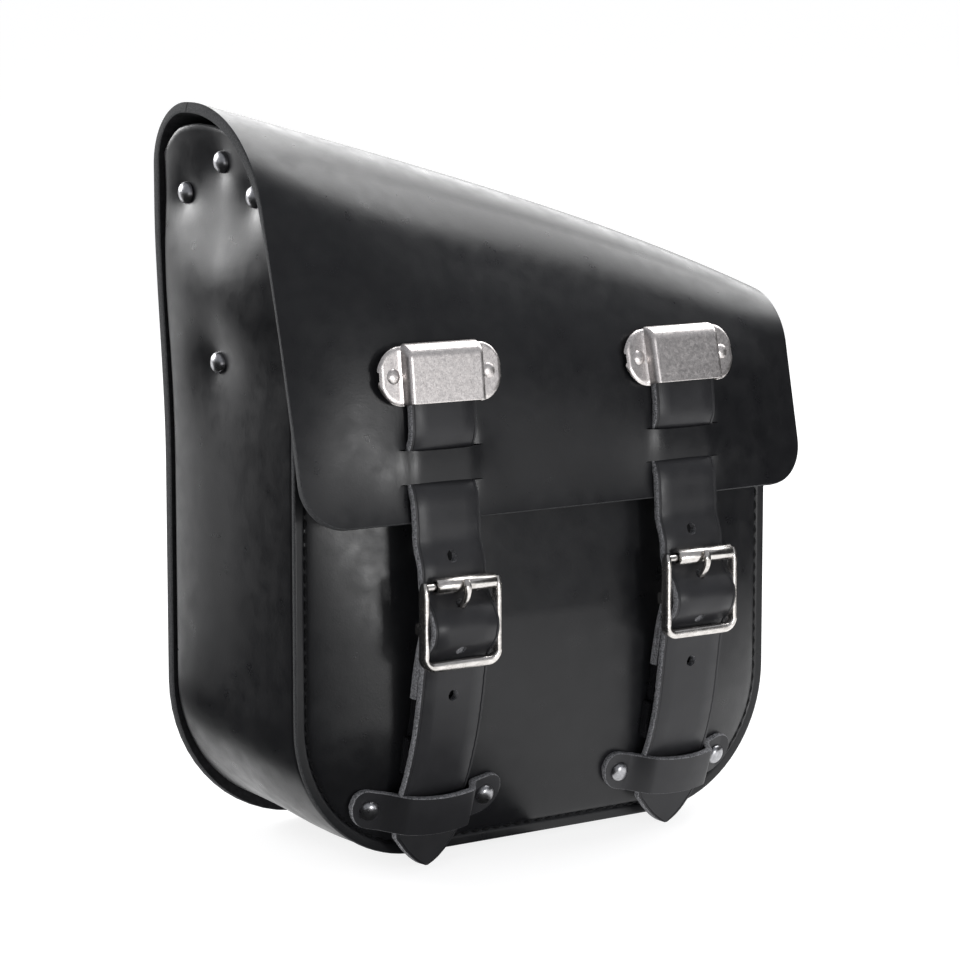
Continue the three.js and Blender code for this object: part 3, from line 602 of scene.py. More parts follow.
def back_sheet_rows():
    """Rows of the back panel, the roll behind the ridge and half of the ridge."""
    across = np.linspace(1, -1, 97)
    rows = []
    for angle in np.linspace(0, pi / 2, 16):
        z = BACK_CORNER * (1 - cos(angle))
        rows.append([(s * corner_half(s, z), BACK_Y, z) for s in across])
    for t in np.linspace(0, 1, 34)[1:]:
        row = []
        for x in across * HALF_WIDTH:
            z = lerp(BACK_CORNER, ridge_z(x) - BACK_ROLL, t)
            row.append((x * lerp(corner_half(x, z) / HALF_WIDTH, 1, ease(0.8, 1, t)), BACK_Y, z))
        rows.append(row)
    for angle in np.linspace(0, pi / 2, 25)[1:]:
        rows.append([back_roll_point(s * HALF_WIDTH, angle) for s in across])
    rows += [ridge_row(across, t) for t in np.linspace(0, 0.5, 7)[1:]]
    return rows


def flap_rows():
    """Rows of the other half of the ridge, its front edge and the flap."""
    across = np.linspace(1, -1, 146)
    rows = [ridge_row(across, t) for t in np.linspace(0.5, 1, 7)[:-1]]
    for angle in np.linspace(0, pi / 4, 16):
        rows.append([front_roll_point(s * HALF_WIDTH, angle) for s in across])
    corner_top = FLAP_EDGE_Z + FLAP_CORNER
    for t in np.linspace(0, 1, 66)[1:]:
        row = []
        for x in across * HALF_WIDTH:
            z = lerp(front_roll_point(x, pi / 4)[2], corner_top, t)
            row.append((x, flap_y(x, z), z))
        rows.append(row)
    for angle in np.linspace(0, pi / 2, 13)[1:]:
        z = corner_top - FLAP_CORNER * sin(angle)
        half = HALF_WIDTH - FLAP_CORNER * (1 - cos(angle))
        rows.append([(s * half, flap_y(s * half, z), z) for s in across])
    return rows


def settle_slits(obj):
    """Lifts the bridge between each pair of slits off the strap behind it, and presses the leather
    under the strap above and below it."""
    for vertex in obj.data.vertices:
        x, z = vertex.co.x / MM, vertex.co.z / MM
        if z > PLATE_Z - 1 or vertex.co.y > 0:
            continue
        for strap_x in STRAP_X.values():
            off = abs(x - strap_x)
            near = 1 - ease(13, SLIT_HALF, off)
            wide = exp(-(max(0.0, off - 15) / 15) ** 2) * exp(-((z - BRIDGE_Z) / 15) ** 2)
            lift = 1.7 * wide
            if SLITS_Z[1] < z < SLITS_Z[0]:
                lift += 1.5 * near
            else:
                beyond = min(abs(z - SLITS_Z[0]), abs(z - SLITS_Z[1]))
                lift -= 2.2 * near * exp(-((beyond / 9) ** 2))
            vertex.co.y -= lift * MM


def make_back_sheet():
    rows = back_sheet_rows()
    obj = build("back_sheet", sheet(rows, joined_rows=(len(rows) - 1,)), BODY_LEATHER)
    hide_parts("back_panel", "ridge_roll")
    bend(obj, "ridge_bend", (0.229, -0.707, 0.669))


def slit_tool(x, z):
    """A thin lens-shaped cutter, pointed at both ends."""
    outline = []
    for a in np.linspace(0, 2 * pi, 40, endpoint=False):
        c, s = cos(a), sin(a)
        outline.append((x + SLIT_HALF * c, z + SLIT_HEIGHT / 2 * copysign(abs(s) ** 1.2, s)))
    return prism([(px, -120, pz) for px, pz in outline], [(px, -60, pz) for px, pz in outline])


def make_flap():
    obj = build("flap_sheet", sheet(flap_rows(), joined_rows=(0,)), BODY_LEATHER)
    cut(obj, [slit_tool(x, z) for x in STRAP_X.values() for z in SLITS_Z])
    settle_slits(obj)
    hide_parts("flap")
    bend(obj, "flap_bend", (-0.123, -0.707, -0.696))


def bend(obj, joint, direction):
    """Bakes a sheet's placement into its points; the joint's hinge axis and the direction across it
    are worked out, but nothing blends the sheet over the joint.
    """
    hinge = frame_joint(joint)
    axis = Vector(hinge["axis"]).normalized()
    across = Vector(direction)
    across = (across - axis * across.dot(axis)).normalized()
    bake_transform(obj)


# ---- the pouch ----
def from_outline(x, z):
    """Distance of a point inside the front panel from the panel's outline."""
    corner_x = SEAM_HALF_WIDTH - SEAM_CORNER
    if abs(x) > corner_x and z < SEAM_CORNER:
        return SEAM_CORNER - hypot(abs(x) - corner_x, SEAM_CORNER - z)
    return min(SEAM_HALF_WIDTH - abs(x), z)


def panel_y(x, z):
    """Outer face of the front panel: flat border, groove for stitches, then the moulded dome."""
    distance = from_outline(x, z)
    inward = clamp((distance - DOME_BORDER) / DOME_RISE)
    fade = 1 - clamp((z - DOME_FULL_Z) / (DOME_END_Z - DOME_FULL_Z))
    moulded = SEAM_Y - DOME * sin(inward * pi / 2) ** DOME_SHAPE * fade
    groove = 0.7 * exp(-(((distance - DOME_BORDER) / 0.9) ** 2))
    if z < FLAP_EDGE_Z:
        return moulded + groove
    return max(moulded + groove, flap_y(x, z) + HEAVY + UNDER_FLAP)


def panel_top_z(x):
    return lerp(*PANEL_TOP_Z, along(x))


def u_line(distance, half=SEAM_HALF_WIDTH, corner=SEAM_CORNER, low=0.0, steps=(40, 22, 44),
           tops=PANEL_TOP_Z):
    """A U line at a distance inside an outline, from its left top round the bottom to the right."""
    reach, floor = half - distance, low + distance
    radius = min(max(corner - distance, 12), reach * 0.98)
    corner = floor + radius - low
    turn_x, turn_z = reach - radius, low + corner
    line = [(-reach, z) for z in np.linspace(tops[0], turn_z, steps[0], endpoint=False)]
    for a in np.linspace(0, pi / 2, steps[1], endpoint=False):
        line.append((-turn_x - radius * cos(a), turn_z - radius * sin(a)))
    line += [(x, floor) for x in np.linspace(-turn_x, turn_x, steps[2], endpoint=False)]
    for a in np.linspace(pi / 2, 0, steps[1], endpoint=False):
        line.append((turn_x + radius * cos(a), turn_z - radius * sin(a)))
    line += [(reach, z) for z in np.linspace(turn_z, tops[1], steps[0])]
    return line


def front_panel_rows():
    """U lines from the panel's middle, where both sides of the line meet, out to its border."""
    near = [0, 0.6, 1.8, 3]
    near += [DOME_BORDER + off for off in (-1.5, -1, -0.6, -0.2, 0.2, 0.6, 1.2, 2, 3.4, 5.2)]
    rows = []
    for distance in list(np.linspace(SEAM_HALF_WIDTH, 12.5, 50)) + near[::-1]:
        reach = SEAM_HALF_WIDTH - distance
        tops = (panel_top_z(-reach), panel_top_z(reach))
        rows.append([(x, panel_y(x, z), z) for x, z in u_line(distance, tops=tops)])
    return rows


def make_front_panel():
    rows = front_panel_rows()
    shape = sheet([row[::-1] for row in rows], LIGHT, closed_rows=(0,))
    obj = build("moulded_front", shape, BODY_LEATHER, sharp=50)
    stand_for(obj, "body_leather", "bag", "front_panel")


SIDE_RIVETS = (1, 2, 3, 4)


def side_rivet_places(name):
    """(y, z) of the rivets on one side, where the frame has them."""
    places = []
    for k in SIDE_RIVETS:
        low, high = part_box(f"side_rivet_{name}_{k}")
        middle = (low + high) / 2
        places.append((middle.y / MM - CENTRE_Y, middle.z / MM))
    return places


RIVETS_AT = {side: side_rivet_places(name) for name, side in SIDES.items()}
GUSSET_BACK_Y = BACK_Y - HEAVY - 0.3
GUSSET_FRONT_Y = SEAM_Y + LIGHT + 0.3
EAR_BASE = {-1: 232.0, 1: 150.0}      # height where the ears start
EAR_SPARE = {-1: 0.0, 1: 1.5}         # the ridge falls to the right, so that ear needs more room


def ear_outline(side):
    """(y, z) from the back of a gusset side, over its round top inside the roll, to its front
    edge under the flap."""
    x = side * SEAM_HALF_WIDTH
    line = [(GUSSET_BACK_Y, EAR_BASE[side]), (GUSSET_BACK_Y, ridge_z(x) - 42)]
    spare = EAR_SPARE[side]
    for degrees, depth in ((14, 6.6), (30, 8.6), (50, 9.6), (75, 9.2)):
        line.append(back_roll_point(x, radians(degrees), depth + spare)[1:])
    for degrees, depth in ((5, 8.4), (28, 6.8), (50, 6.6), (68, 6.6)):
        line.append(front_roll_point(x, radians(degrees), depth + spare)[1:])
    start_z = line[-1][1]
    for t in (0.3, 0.65, 1):
        z = lerp(start_z, EAR_BASE[side] + 12, t)
        line.append((panel_y(x, z) + LIGHT + 1.2, z))
    return curve_through(line, 1.0)


EAR_OUTLINES = {side: ear_outline(side) for side in SIDES.values()}


def ear_point(side, w):
    """The point of the ear's outline at share w of its length, from the back."""
    line = EAR_OUTLINES[side]
    return points_at(line, np.linspace(0, 1, len(line)), [w])[0]


def gusset_bow(side, y, z):
    """How far the gusset stands out beyond the seams, with dimples round the rivets."""
    w = clamp((GUSSET_BACK_Y - y) / (GUSSET_BACK_Y - GUSSET_FRONT_Y))
    bow = 4.2 * sin(pi * w**0.75) ** 0.8 * ease(0, 80, z)
    bow += 4.4 * exp(-(((z - RIVETS_AT[side][0][1] + 62) / 25) ** 2)) * sin(pi * w)
    bow += (corner_half(side, max(z, BACK_CORNER)) - LOW_HALF_WIDTH + 1.2) * (1 - ease(0, 0.5, w))
    tuck = 0.8 * (1 - ease(0, 0.04, w))
    dimple = 0.0
    for ry, rz in RIVETS_AT[side]:
        d = hypot(y - ry, z - rz)
        dimple += 1.4 * exp(-((d / 8) ** 2)) + 2.4 * exp(-((d / 20) ** 2))
    return bow - tuck - dimple


def gusset_rows():
    """Rows across the gusset, from its back edge to its front edge, each a U line with its ears."""
    rows = []
    for w in np.concatenate([np.linspace(0, 0.08, 8, endpoint=False), np.linspace(0.08, 1, 52)]):
        y = lerp(GUSSET_BACK_Y, GUSSET_FRONT_Y, w)
        low = lerp(*GUSSET_LIFT, ease(0, 0.9, w))
        corner = lerp(GUSSET_BACK_CORNER, SEAM_CORNER - 1, ease(0, 1, w))
        tops = (EAR_BASE[-1], EAR_BASE[1])
        line = u_line(0, SEAM_HALF_WIDTH, corner, low, (70, 26, 30), tops)
        ears = {}
        for side in (-1, 1):
            top_y, top_z = ear_point(side, w)
            ears[side] = [(side * SEAM_HALF_WIDTH, lerp(y, top_y, t),
                           lerp(EAR_BASE[side], top_z, t)) for t in np.linspace(0, 1, 44)[1:]]
        row = ears[-1][::-1] + [(x, y, z) for x, z in line] + ears[1]
        rows.append([bowed(p, low, corner) for p in row])
    return rows


def bowed(point, low, corner):
    """Moves a gusset point out along the direction in which that stretch of the U faces."""
    x, y, z = point
    side = -1 if x < 0 else 1
    corner_x, corner_z = SEAM_HALF_WIDTH - corner, low + corner
    if z < corner_z:
        out_x = max(0.0, abs(x) - corner_x)
        out_z = z - corner_z
        length = hypot(out_x, out_z)
        out_x, out_z = out_x / length, out_z / length
    else:
        out_x, out_z = 1.0, 0.0
    amount = gusset_bow(side, y, z) * ease(0.1, 0.8, out_x)
    return (x + side * out_x * amount, y, z + out_z * amount)


def make_gusset():
    """The U-shaped side wall of the pouch, with an ear at each top."""
    obj = build("gusset_leather", sheet(gusset_rows(), LIGHT), BODY_LEATHER, sharp=50)
    stand_for(obj, "body_leather", "bag", "gusset")


# ---- stitches ----
def even_points(line, pitch):
    """Points a pitch apart along a line."""
    line = np.array(line, float)
    run = distances(line)
    return points_at(line, run, np.arange(0, run[-1], pitch))


def thread_section(share, _):
    half = THREAD_RADIUS * (0.55 + 0.45 * sin(pi * share) ** 0.5)
    return rounded(half, THREAD_RADIUS * 0.8, 2, 8)


def stitch_row(name, holes, outward, body):
    """Thread from hole to hole, diving in at each; outward is the side where it lies."""
    parts = []
    outward = np.asarray(outward, float)
    for start, end in zip(holes, holes[1:]):
        ahead = end - start
        side = unit(np.cross(ahead, outward))
        path = []
        for t in np.linspace(0.17, 0.83, 9):
            lift = THREAD_RADIUS * (1.9 * sin(pi * (t - 0.1) / 0.8) ** 0.7 - 1.4)
            path.append(start + ahead * t + outward * lift)
        parts.append(sweep(path, side, thread_section))
    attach(build(name, join_parts(*parts)[:2], [THREAD]), body)


def make_stitches():
    """The seams that join the gusset to the front panel and to the back panel."""
    front = even_points(u_line(DOME_BORDER, tops=(262, 196)), STITCH_PITCH)
    holes = [np.array((x, panel_y(x, z) - 0.15, z)) for x, z in front]
    stitch_row("front_stitches", holes, (0, -1, 0), "bag")
    line = u_line(BACK_STITCH_IN, LOW_HALF_WIDTH, BACK_CORNER, 0, (60, 22, 44), (292, 200))
    holes = [np.array((x, BACK_Y + 0.1, z)) for x, z in even_points(line, STITCH_PITCH)]
    stitch_row("back_stitches", holes, (0, 1, 0), "bag")


# ---- straps ----
def strap_line(x):
    """Centre line (y, z): from under the plate, in and out of the flap's slits, over the flap's
    edge, round the buckle's bars and through the keeper loop to the tip."""
    outside = -STRAP_THICK / 2 - 0.35
    weave = [(237, outside), (224, outside), (210, outside), (201, outside + 0.1),
             (196.5, outside + 1.1), (SLITS_Z[0], 0.8), (189, 3.2), (BRIDGE_Z, 4.2), (180.6, 3.2),
             (SLITS_Z[1], 0.8), (173.1, outside + 1.1), (169, outside + 0.1), (164, outside)]
    upper = [(flap_y(x, z) + off, z) for z, off in weave]
    start = flap_y(x, FLAP_EDGE_Z) + outside
    lower = [(start, 158.5), (start - 0.5, 150), (-90, 140), (-90.8, 132), (-93.6, 125),
             (-98.6, 119), (-101, 113), (-99.6, 107), (-95.4, 102.5), (-92.4, 98.5), (-91.8, 94),
             (-90.6, 88), (-89, 78), (-85.2, 60), (-79.2, 42), (-72.8, 28), (-70.4, 20),
             (-69.4, 10), (-68.6, TIP_Z)]
    return curve_through(upper + lower, 1.5)


def strap_section(half):
    """Strap cross-section: grain side with a crease near each edge, rounded raw edges."""
    t = STRAP_THICK / 2
    crease = min(CREASE_AT, half * 0.5)
    face = [(-half + 0.3, t - 0.1), (-half + crease - 0.45, t), (-half + crease, t - 0.3),
            (-half + crease + 0.45, t), (-half * 0.5, t + 0.05), (0, t + 0.08)]
    face += [(-s, out) for s, out in face[-2::-1]]
    edge = [(half, t * 0.75), (half + 0.2, t * 0.35), (half + 0.2, -t * 0.35), (half, -t * 0.75)]
    back = [(half - 0.45, -t), (half * 0.4, -t), (-half * 0.4, -t), (-half + 0.45, -t)]
    ring = [(s, out, 0) for s, out in face[:-1]] + [(*face[-1], 1)]
    ring += [(s, out, 1) for s, out in edge]
    ring += [(s, out, 2) for s, out in back[:-1]] + [(*back[-1], 1)]
    ring += [(-s, out, 1) for s, out in edge[::-1]]
    return ring


def make_strap(name, x):
    line = strap_line(x)
    path = [(x + STRAP_DRIFT[name] * (1 - ease(30, 90, z)), y, z) for y, z in line]
    total = np.linalg.norm(np.diff(line, axis=0), axis=1).sum()

    def section(_, distance):
        left = clamp((total - distance) / TIP_LENGTH)
        return strap_section(max(0.7, STRAP_HALF * left**0.62))

    obj = build(f"strap_{name}", sweep(path, (1, 0, 0), section), STRAP_LEATHER, sharp=50)
    holes = [rod_tool(HOLE_RADIUS, (x, -110, z), (x, -70, z)) for z in (144, 80)]
    holes.append(rod_tool(HOLE_RADIUS, (x, -104, 128.5), (x, -88, 115)))
    holes.append(rod_tool(HOLE_RADIUS * 0.95, (x, -106, 97.5), (x, -96.2, 102.3)))
    cut(obj, holes)
    for vertex in obj.data.vertices:        # hand-cut edges
        vertex.co.x += 0.12 * MM * sin(vertex.co.z * 900) * sin(vertex.co.z * 2300 + 1)
    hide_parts(f"strap_upper_{name}", f"strap_lower_{name}")
    x, y, z = frame_joint(f"strap_{name}_swing")["pos_m"]
    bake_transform(obj)


# ---- rivets ----
def rivet_profile(head, dome, shank_length, shank=2.0):
    """Domed head with a fine rim, and a shank: (radius, height)."""
    profile = [(0.01, -shank_length), (shank, -shank_length), (shank, -0.3), (head * 0.9, -0.3),
               (head, 0.15), (head * 0.985, 0.5)]
    for a in np.linspace(0.12, pi / 2, 12):
        profile.append((max(0.01, head * 0.97 * cos(a)), 0.5 + dome * sin(a)))
    return profile


def make_rivet(name, node, matrix, finish, slot, body, head, dome, shank_length):
    shape = lathe(rivet_profile(head, dome, shank_length))
    stand_for(build(name, moved(shape, matrix), [finish], sharp=60), slot, body, node)


def make_side_rivets():
    for name, side in SIDES.items():
        for k, (y, z) in enumerate(RIVETS_AT[side], 1):
            x = side * (SEAM_HALF_WIDTH + gusset_bow(side, y, z) + 0.3)
            make_rivet(f"gusset_rivet_{name}_{k}", f"side_rivet_{name}_{k}",
                       placement(x, y, z, side * pi / 2), GUNMETAL, "gunmetal", "bag",
                       5.2, 3.2, 7)


# ---- strap plates ----
def plate_frame(x):
    """Where a strap plate lies on the flap."""
    lean = PLATE_LEAN * atan2(flap_y(x, PLATE_Z + 12) - flap_y(x, PLATE_Z - 12), 24)
    ends = [flap_y(x + way * PLATE_RIVET_X, PLATE_Z) for way in (-1, 1)]
    turn = PLATE_TURN * atan2(ends[1] - ends[0], 2 * PLATE_RIVET_X)
    return placement(x, flap_y(x, PLATE_Z) - 0.9, PLATE_Z, turn, -lean)


def plate_height(x, z, edge):
    """Height of the plate's face over its flanges: a raised centre whose top end is rounded down,
    and a chamfer round the flanges' edge."""
    wall = clamp((PLATE_WALL_X - abs(x)) / 1.1)
    foot = 0.5 * (1 - ease(PLATE_WALL_X, 23.0, abs(x))) * (1 - wall)
    level = PLATE_RISE
    from_top = PLATE_HALF_HEIGHT - z
    if from_top < PLATE_RISE:
        level = sqrt(max(0.0, PLATE_RISE**2 - (PLATE_RISE - from_top) ** 2))
    return wall * level + foot - 0.7 * (1 - wall) * (1 - ease(0, 1.3, edge))


def plate_rows():
    """Points of a strap plate's face in its own frame, close together where it bends."""
    far = [0, 4, 8, 12, 15, 17, 18, 18.6, 18.9, 19.1, 19.4, 19.8, 20.05, 20.2]
    far += [PLATE_END_X + (PLATE_HALF - PLATE_END_X) * sin(a)
            for a in np.linspace(0.03, 1.41, 24)]
    xs = np.array([-x for x in far[::-1]] + far[1:])
    shares = np.concatenate([np.linspace(-1, -0.88, 5), np.linspace(-0.8, 0.55, 12),
                             np.linspace(0.6, 1, 18)])
    rows = []
    for share in shares:
        row = []
        for x in xs:
            past = max(0.0, abs(x) - PLATE_END_X) / (PLATE_HALF - PLATE_END_X)
            half = PLATE_HALF_HEIGHT * sqrt(1 - past**2.4)
            z = share * half
            edge = min(half - abs(z), PLATE_HALF - abs(x))
            row.append((x, -PLATE_THICK - plate_height(x, z, edge), z))
        rows.append(row)
    return rows


def make_plate(name, x):
    place = plate_frame(x)
    shape = moved(sheet(plate_rows()[::-1], PLATE_THICK, 0.12), place)
    obj = build(f"metal_plate_{name}", shape, [NICKEL, NICKEL_RIM, NICKEL], sharp=60)
    stand_for(obj, "aged_nickel", "flap", f"strap_plate_{name}")
    for k, way in enumerate((-1, 1), 1):
        at = place @ Matrix.Translation((way * PLATE_RIVET_X, -1.6, 0))
        make_rivet(f"plate_stud_{name}_{k}", f"plate_rivet_{name}_{k}", at, NICKEL, "aged_nickel",
                   "flap", 4.0, 2.0, 5)


# ---- buckles ----
def buckle_path():
    """(x, z) round the frame, from the top of its left arm to the top of its right arm."""
    corner = 5.0
    line = [(-ARM_X + 0.3, z) for z in np.linspace(ROLLER_Z + 2.2, BOTTOM_BAR_Z + corner, 16)]
    for a in np.linspace(0, pi / 2, 9)[1:]:
        line.append((-ARM_X + corner - corner * cos(a),
                     BOTTOM_BAR_Z + corner - corner * sin(a)))
    line += [(x, BOTTOM_BAR_Z) for x in np.linspace(-ARM_X + corner, ARM_X - corner, 12)[1:-1]]
    return line + [(-x, z) for x, z in line[::-1] if x < -ARM_X + corner + 0.01]


def make_buckle(name, x0):
    """The frame with its two cross bars, and the roller, prong and chape on them."""
    path = [(x0 + x, ROLLER_Y, z) for x, z in buckle_path()]

    def section(share, _):
        bar = 1 - ease(0.12, 0.2, abs(share - 0.5))
        end = lerp(0.55, 1, ease(0, 0.03, min(share, 1 - share)))
        return rounded(lerp(2.7, 2.3, bar) * end, lerp(1.75, 2.35, bar) * end, 2.8, 24)

    parts = [sweep(path, (0, 1, 0), section)]
    reach = ARM_X - 0.4
    for y, z in ((ROLLER_Y, ROLLER_Z), (CENTRE_BAR_Y, CENTRE_BAR_Z)):
        line = [(x0 + x, y, z) for x in np.linspace(-reach, reach, 12)]
        parts.append(sweep(line, (0, 1, 0), lambda *_: rounded(BAR_RADIUS, BAR_RADIUS, 2, 20)))
    for way in (-1, 1):
        lug = [(x0 + way * (ARM_X - 0.2), y, CENTRE_BAR_Z)
               for y in np.linspace(ROLLER_Y, CENTRE_BAR_Y + 2, 6)]
        parts.append(sweep(lug, (0, 0, 1), lambda *_: rounded(2.9, 1.35, 3, 16)))
    obj = build(f"buckle_{name}", join_parts(*parts)[:2], [BRIGHT], sharp=55)
    stand_for(obj, "bright_nickel", f"strap_{name}", f"buckle_frame_{name}")

    make_roller(name, x0)
    make_prong(name, x0)
    make_chape(name, x0)


def make_roller(name, x0):
    """A loose tube on the top bar; it sits against the right arm."""
    start, end, wall = -14.2, 18.2, 1.3
    inner = ROLLER_RADIUS - wall
    profile = [(inner, start), (ROLLER_RADIUS - 0.35, start), (ROLLER_RADIUS, start + 0.4),
               (ROLLER_RADIUS, end - 0.4), (ROLLER_RADIUS - 0.35, end), (inner, end),
               (inner, start)]
    shape = moved(lathe(profile, 48), placement(x0, ROLLER_Y, ROLLER_Z, pi / 2))
    obj = build(f"roller_{name}", shape, [BRIGHT], sharp=45)
    stand_for(obj, "bright_nickel", f"roller_{name}", f"buckle_roller_{name}")


def make_prong(name, x0):
    """A curved pin on an eye round the centre bar; it rests on the roller."""
    line = curve_through([(-94.6, 116.2), (-95.4, 118.8), (-98.4, 122.4), (-101.1, 125.6),
                          (-102.5, 129), (-102.6, 132), (-101.4, 134.9)], 0.8)

    def section(share, _):
        taper = ease(0.85, 1, share)
        return rounded(1.75 * (1 - 0.25 * taper), 1.25 * (1 - 0.4 * taper), 3, 18)

    arm = sweep([(x0, y, z) for y, z in line], (1, 0, 0), section)
    eye = lathe([(1.95, -1.8), (3.5, -1.8), (3.7, -1.5), (3.7, 1.5), (3.5, 1.8), (1.95, 1.8),
                 (1.95, -1.8)], 32)
    eye = moved(eye, placement(x0, CENTRE_BAR_Y, CENTRE_BAR_Z, pi / 2))
    obj = build(f"prong_{name}", join_parts(arm, eye)[:2], [BRIGHT], sharp=50)
    stand_for(obj, "bright_nickel", f"prong_{name}", f"buckle_prong_{name}")


def make_chape(name, x0):
    """A leather tab folded round the buckle's centre bar, with a slot for the prong."""
    around = [(CENTRE_BAR_Y + 3.4 * cos(a), CENTRE_BAR_Z + 3.4 * sin(a))
              for a in np.linspace(-0.1, pi + 0.5, 7)]
    line = curve_through([(-81.8, 79), (-84.4, 92), (-87.2, 103)] + around
                         + [(-92.6, 105.6), (-88.6, 99), (-86.6, 92), (-84.2, 79)], 1.4)
    t, half = CHAPE_THICK / 2, CHAPE_HALF
    ring = [(-half + 0.4, t, 0), (0, t, 0), (half - 0.4, t, 1), (half, t * 0.6, 1),
            (half, -t * 0.6, 1), (half - 0.4, -t, 2), (0, -t, 2), (-half + 0.4, -t, 1),
            (-half, -t * 0.6, 1), (-half, t * 0.6, 1)]
    shape = sweep([(x0, y, z) for y, z in line], (1, 0, 0), lambda *_: ring)
    obj = build(f"chape_{name}", shape, STRAP_LEATHER, sharp=50)
    cut(obj, [box_tool((x0 - 2.5, -104, 108), (x0 + 2.5, -88, 125))])
    stand_for(obj, "strap_leather", f"strap_{name}", f"buckle_chape_{name}")


# ---- keeper loops ----
def loop_height(off):
    """Height of the loop's outer face over the panel at a distance from the strap's middle."""
    off = abs(off)
    crown = 15.2 - 2.0 * (off / 20) ** 2
    return LOOP_THICK + (crown - LOOP_THICK) * (1 - ease(16.5, 26, off))


def make_loop(name, strap_x):
    """A round-ended leather strip that arches over the strap, held by a rivet at each end."""
    x0 = strap_x + LOOP_SHIFT[name]
    spans = ((-LOOP_HALF, -27, 14), (-26.4, -17, 22), (-16, 16, 17), (17, 26.4, 22),
             (27, LOOP_HALF, 14))
    offsets = np.concatenate([np.linspace(*span) for span in spans])
    rows = []
    for w in -np.cos(np.linspace(0, pi, 19)):
        row = []
        for off in offsets:
            past = max(0.0, abs(off) - (LOOP_HALF - LOOP_HALF_HEIGHT))
            half = sqrt(max(0.05, LOOP_HALF_HEIGHT**2 - past**2))
            centre = LOOP_Z + LOOP_CURVE * (off / LOOP_RIVET_X) ** 2
            z = centre + w * half
            base = panel_y(x0 + clamp(off, -34, 34), clamp(z, 12, 40))
            row.append((x0 + off, base - loop_height(off), z))
        rows.append(row)
    obj = build(f"loop_{name}", sheet(rows, LOOP_THICK, 0.4), STRAP_LEATHER, sharp=55)
    stand_for(obj, "strap_leather", "bag", f"keeper_loop_{name}")
    for k, way in enumerate((-1, 1), 1):
        x, z = x0 + way * LOOP_RIVET_X, LOOP_Z + LOOP_CURVE
        tilt = atan2(panel_y(x, z - 4) - panel_y(x, z + 4), 8)
        turn = atan2(panel_y(x + 4, z) - panel_y(x - 4, z), 8)
        make_rivet(f"loop_stud_{name}_{k}", f"loop_rivet_{name}_{k}",
                   placement(x, panel_y(x, z) - LOOP_THICK, z, turn, tilt), GUNMETAL, "gunmetal",
                   "bag", 4.9, 2.6, 8)


# ---- hidden fittings ----
def dress(node, finish, bevel):
    """Gives a CAD node its finish and rounds its edges."""
    obj = frame["nodes"][node]
    obj.data.materials.clear()
    obj.data.materials.append(finish)
    if bevel:
        change = obj.modifiers.new("rounded_edges", "BEVEL")
        change.width = bevel * MM
        change.segments = 3
        change.limit_method = "ANGLE"
        change.harden_normals = True


def make_clip_tab(name, x0):
    """The leather tab behind the keeper loop that holds the clip's socket."""
    line = curve_through([(-76.2, 41.6), (-73.4, 36), (-71.6, 30), (-69.4, 22), (-66.2, 14)], 1.5)
    t, half = 0.9, 13.0
    ring = [(-half + 0.3, t, 0), (half - 0.3, t, 1), (half, 0, 1), (half - 0.3, -t, 2),
            (-half + 0.3, -t, 1), (-half, 0, 1)]
    shape = sweep([(x0, y, z) for y, z in line], (1, 0, 0), lambda *_: ring)
    stand_for(build(f"tab_{name}", shape, STRAP_LEATHER), "strap_leather", "bag",
              f"clip_tab_{name}")


def make_screws():
    """Mounting screws: a low round head inside, a threaded end flush with the back."""
    for k in (1, 2, 3):
        low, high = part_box(f"mounting_screw_{k}")
        x, z = (low.x + high.x) / 2 / MM, (low.z + high.z) / 2 / MM
        front = low.y / MM - CENTRE_Y
        length = BACK_Y - front
        profile = [(0.01, 0.9), (3.1, 0.9), (3.3, 0.2), (4.0, 0.0), (7.6, 0.35), (9, 1.3), (9, 3),
                   (4, 3)]
        for i in range(THREAD_TURNS * 2):
            profile.append((4.0 if i % 2 else 3.55, 3.4 + (length - 4.2) * i / (THREAD_TURNS * 2)))
        profile += [(3.9, length - 0.5), (3.3, length), (0.01, length)]
        points, faces = lathe([(r, -h) for r, h in profile], 32)
        obj = build(f"screw_{k}", (points + (x, front, z), faces), [GUNMETAL], sharp=40)
        stand_for(obj, "gunmetal", "bag", f"mounting_screw_{k}")


# ---- the bag ----
make_back_sheet()
make_flap()
make_front_panel()
make_gusset()
make_stitches()
make_side_rivets()
make_screws()
for strap_name, strap_middle in STRAP_X.items():
    make_strap(strap_name, strap_middle)
    make_plate(strap_name, strap_middle)
    make_buckle(strap_name, strap_middle)
    make_loop(strap_name, strap_middle)
    make_clip_tab(strap_name, strap_middle)
    dress(f"clip_plug_{strap_name}", PLASTIC, 0.5)
    dress(f"clip_socket_{strap_name}", PLASTIC, 0.5)
    dress(f"side_stay_{strap_name}", BOARD, 0)
dress("back_stiffener", BOARD, 0.8)


# ---- floor, light and camera ----
FLOOR_Z = (TIP_Z - 0.4) * MM       # the strap tips reach down to the floor


def make_floor():
    """A pale floor that curves up into a backdrop far behind the bag."""
    curve = [(-12, 0), (6, 0)] + [(6 + 3 * sin(a), 3 - 3 * cos(a))
                                  for a in np.linspace(0, pi / 2, 17)[1:]] + [(9, 12)]
    points = [(x, y, z + FLOOR_Z) for y, z in curve for x in (-14, 14)]
    faces = [(2 * i, 2 * i + 1, 2 * i + 3, 2 * i + 2) for i in range(len(curve) - 1)]
    finish = Finish("floor", (0.3, 0.3, 0.302), 0.9, specular=0.1, glow=0.84)
    floor = add_mesh("floor", points, faces, [finish.material])
    for face in floor.data.polygons:
        face.use_smooth = True
    floor.rotation_euler.z = radians(-36)


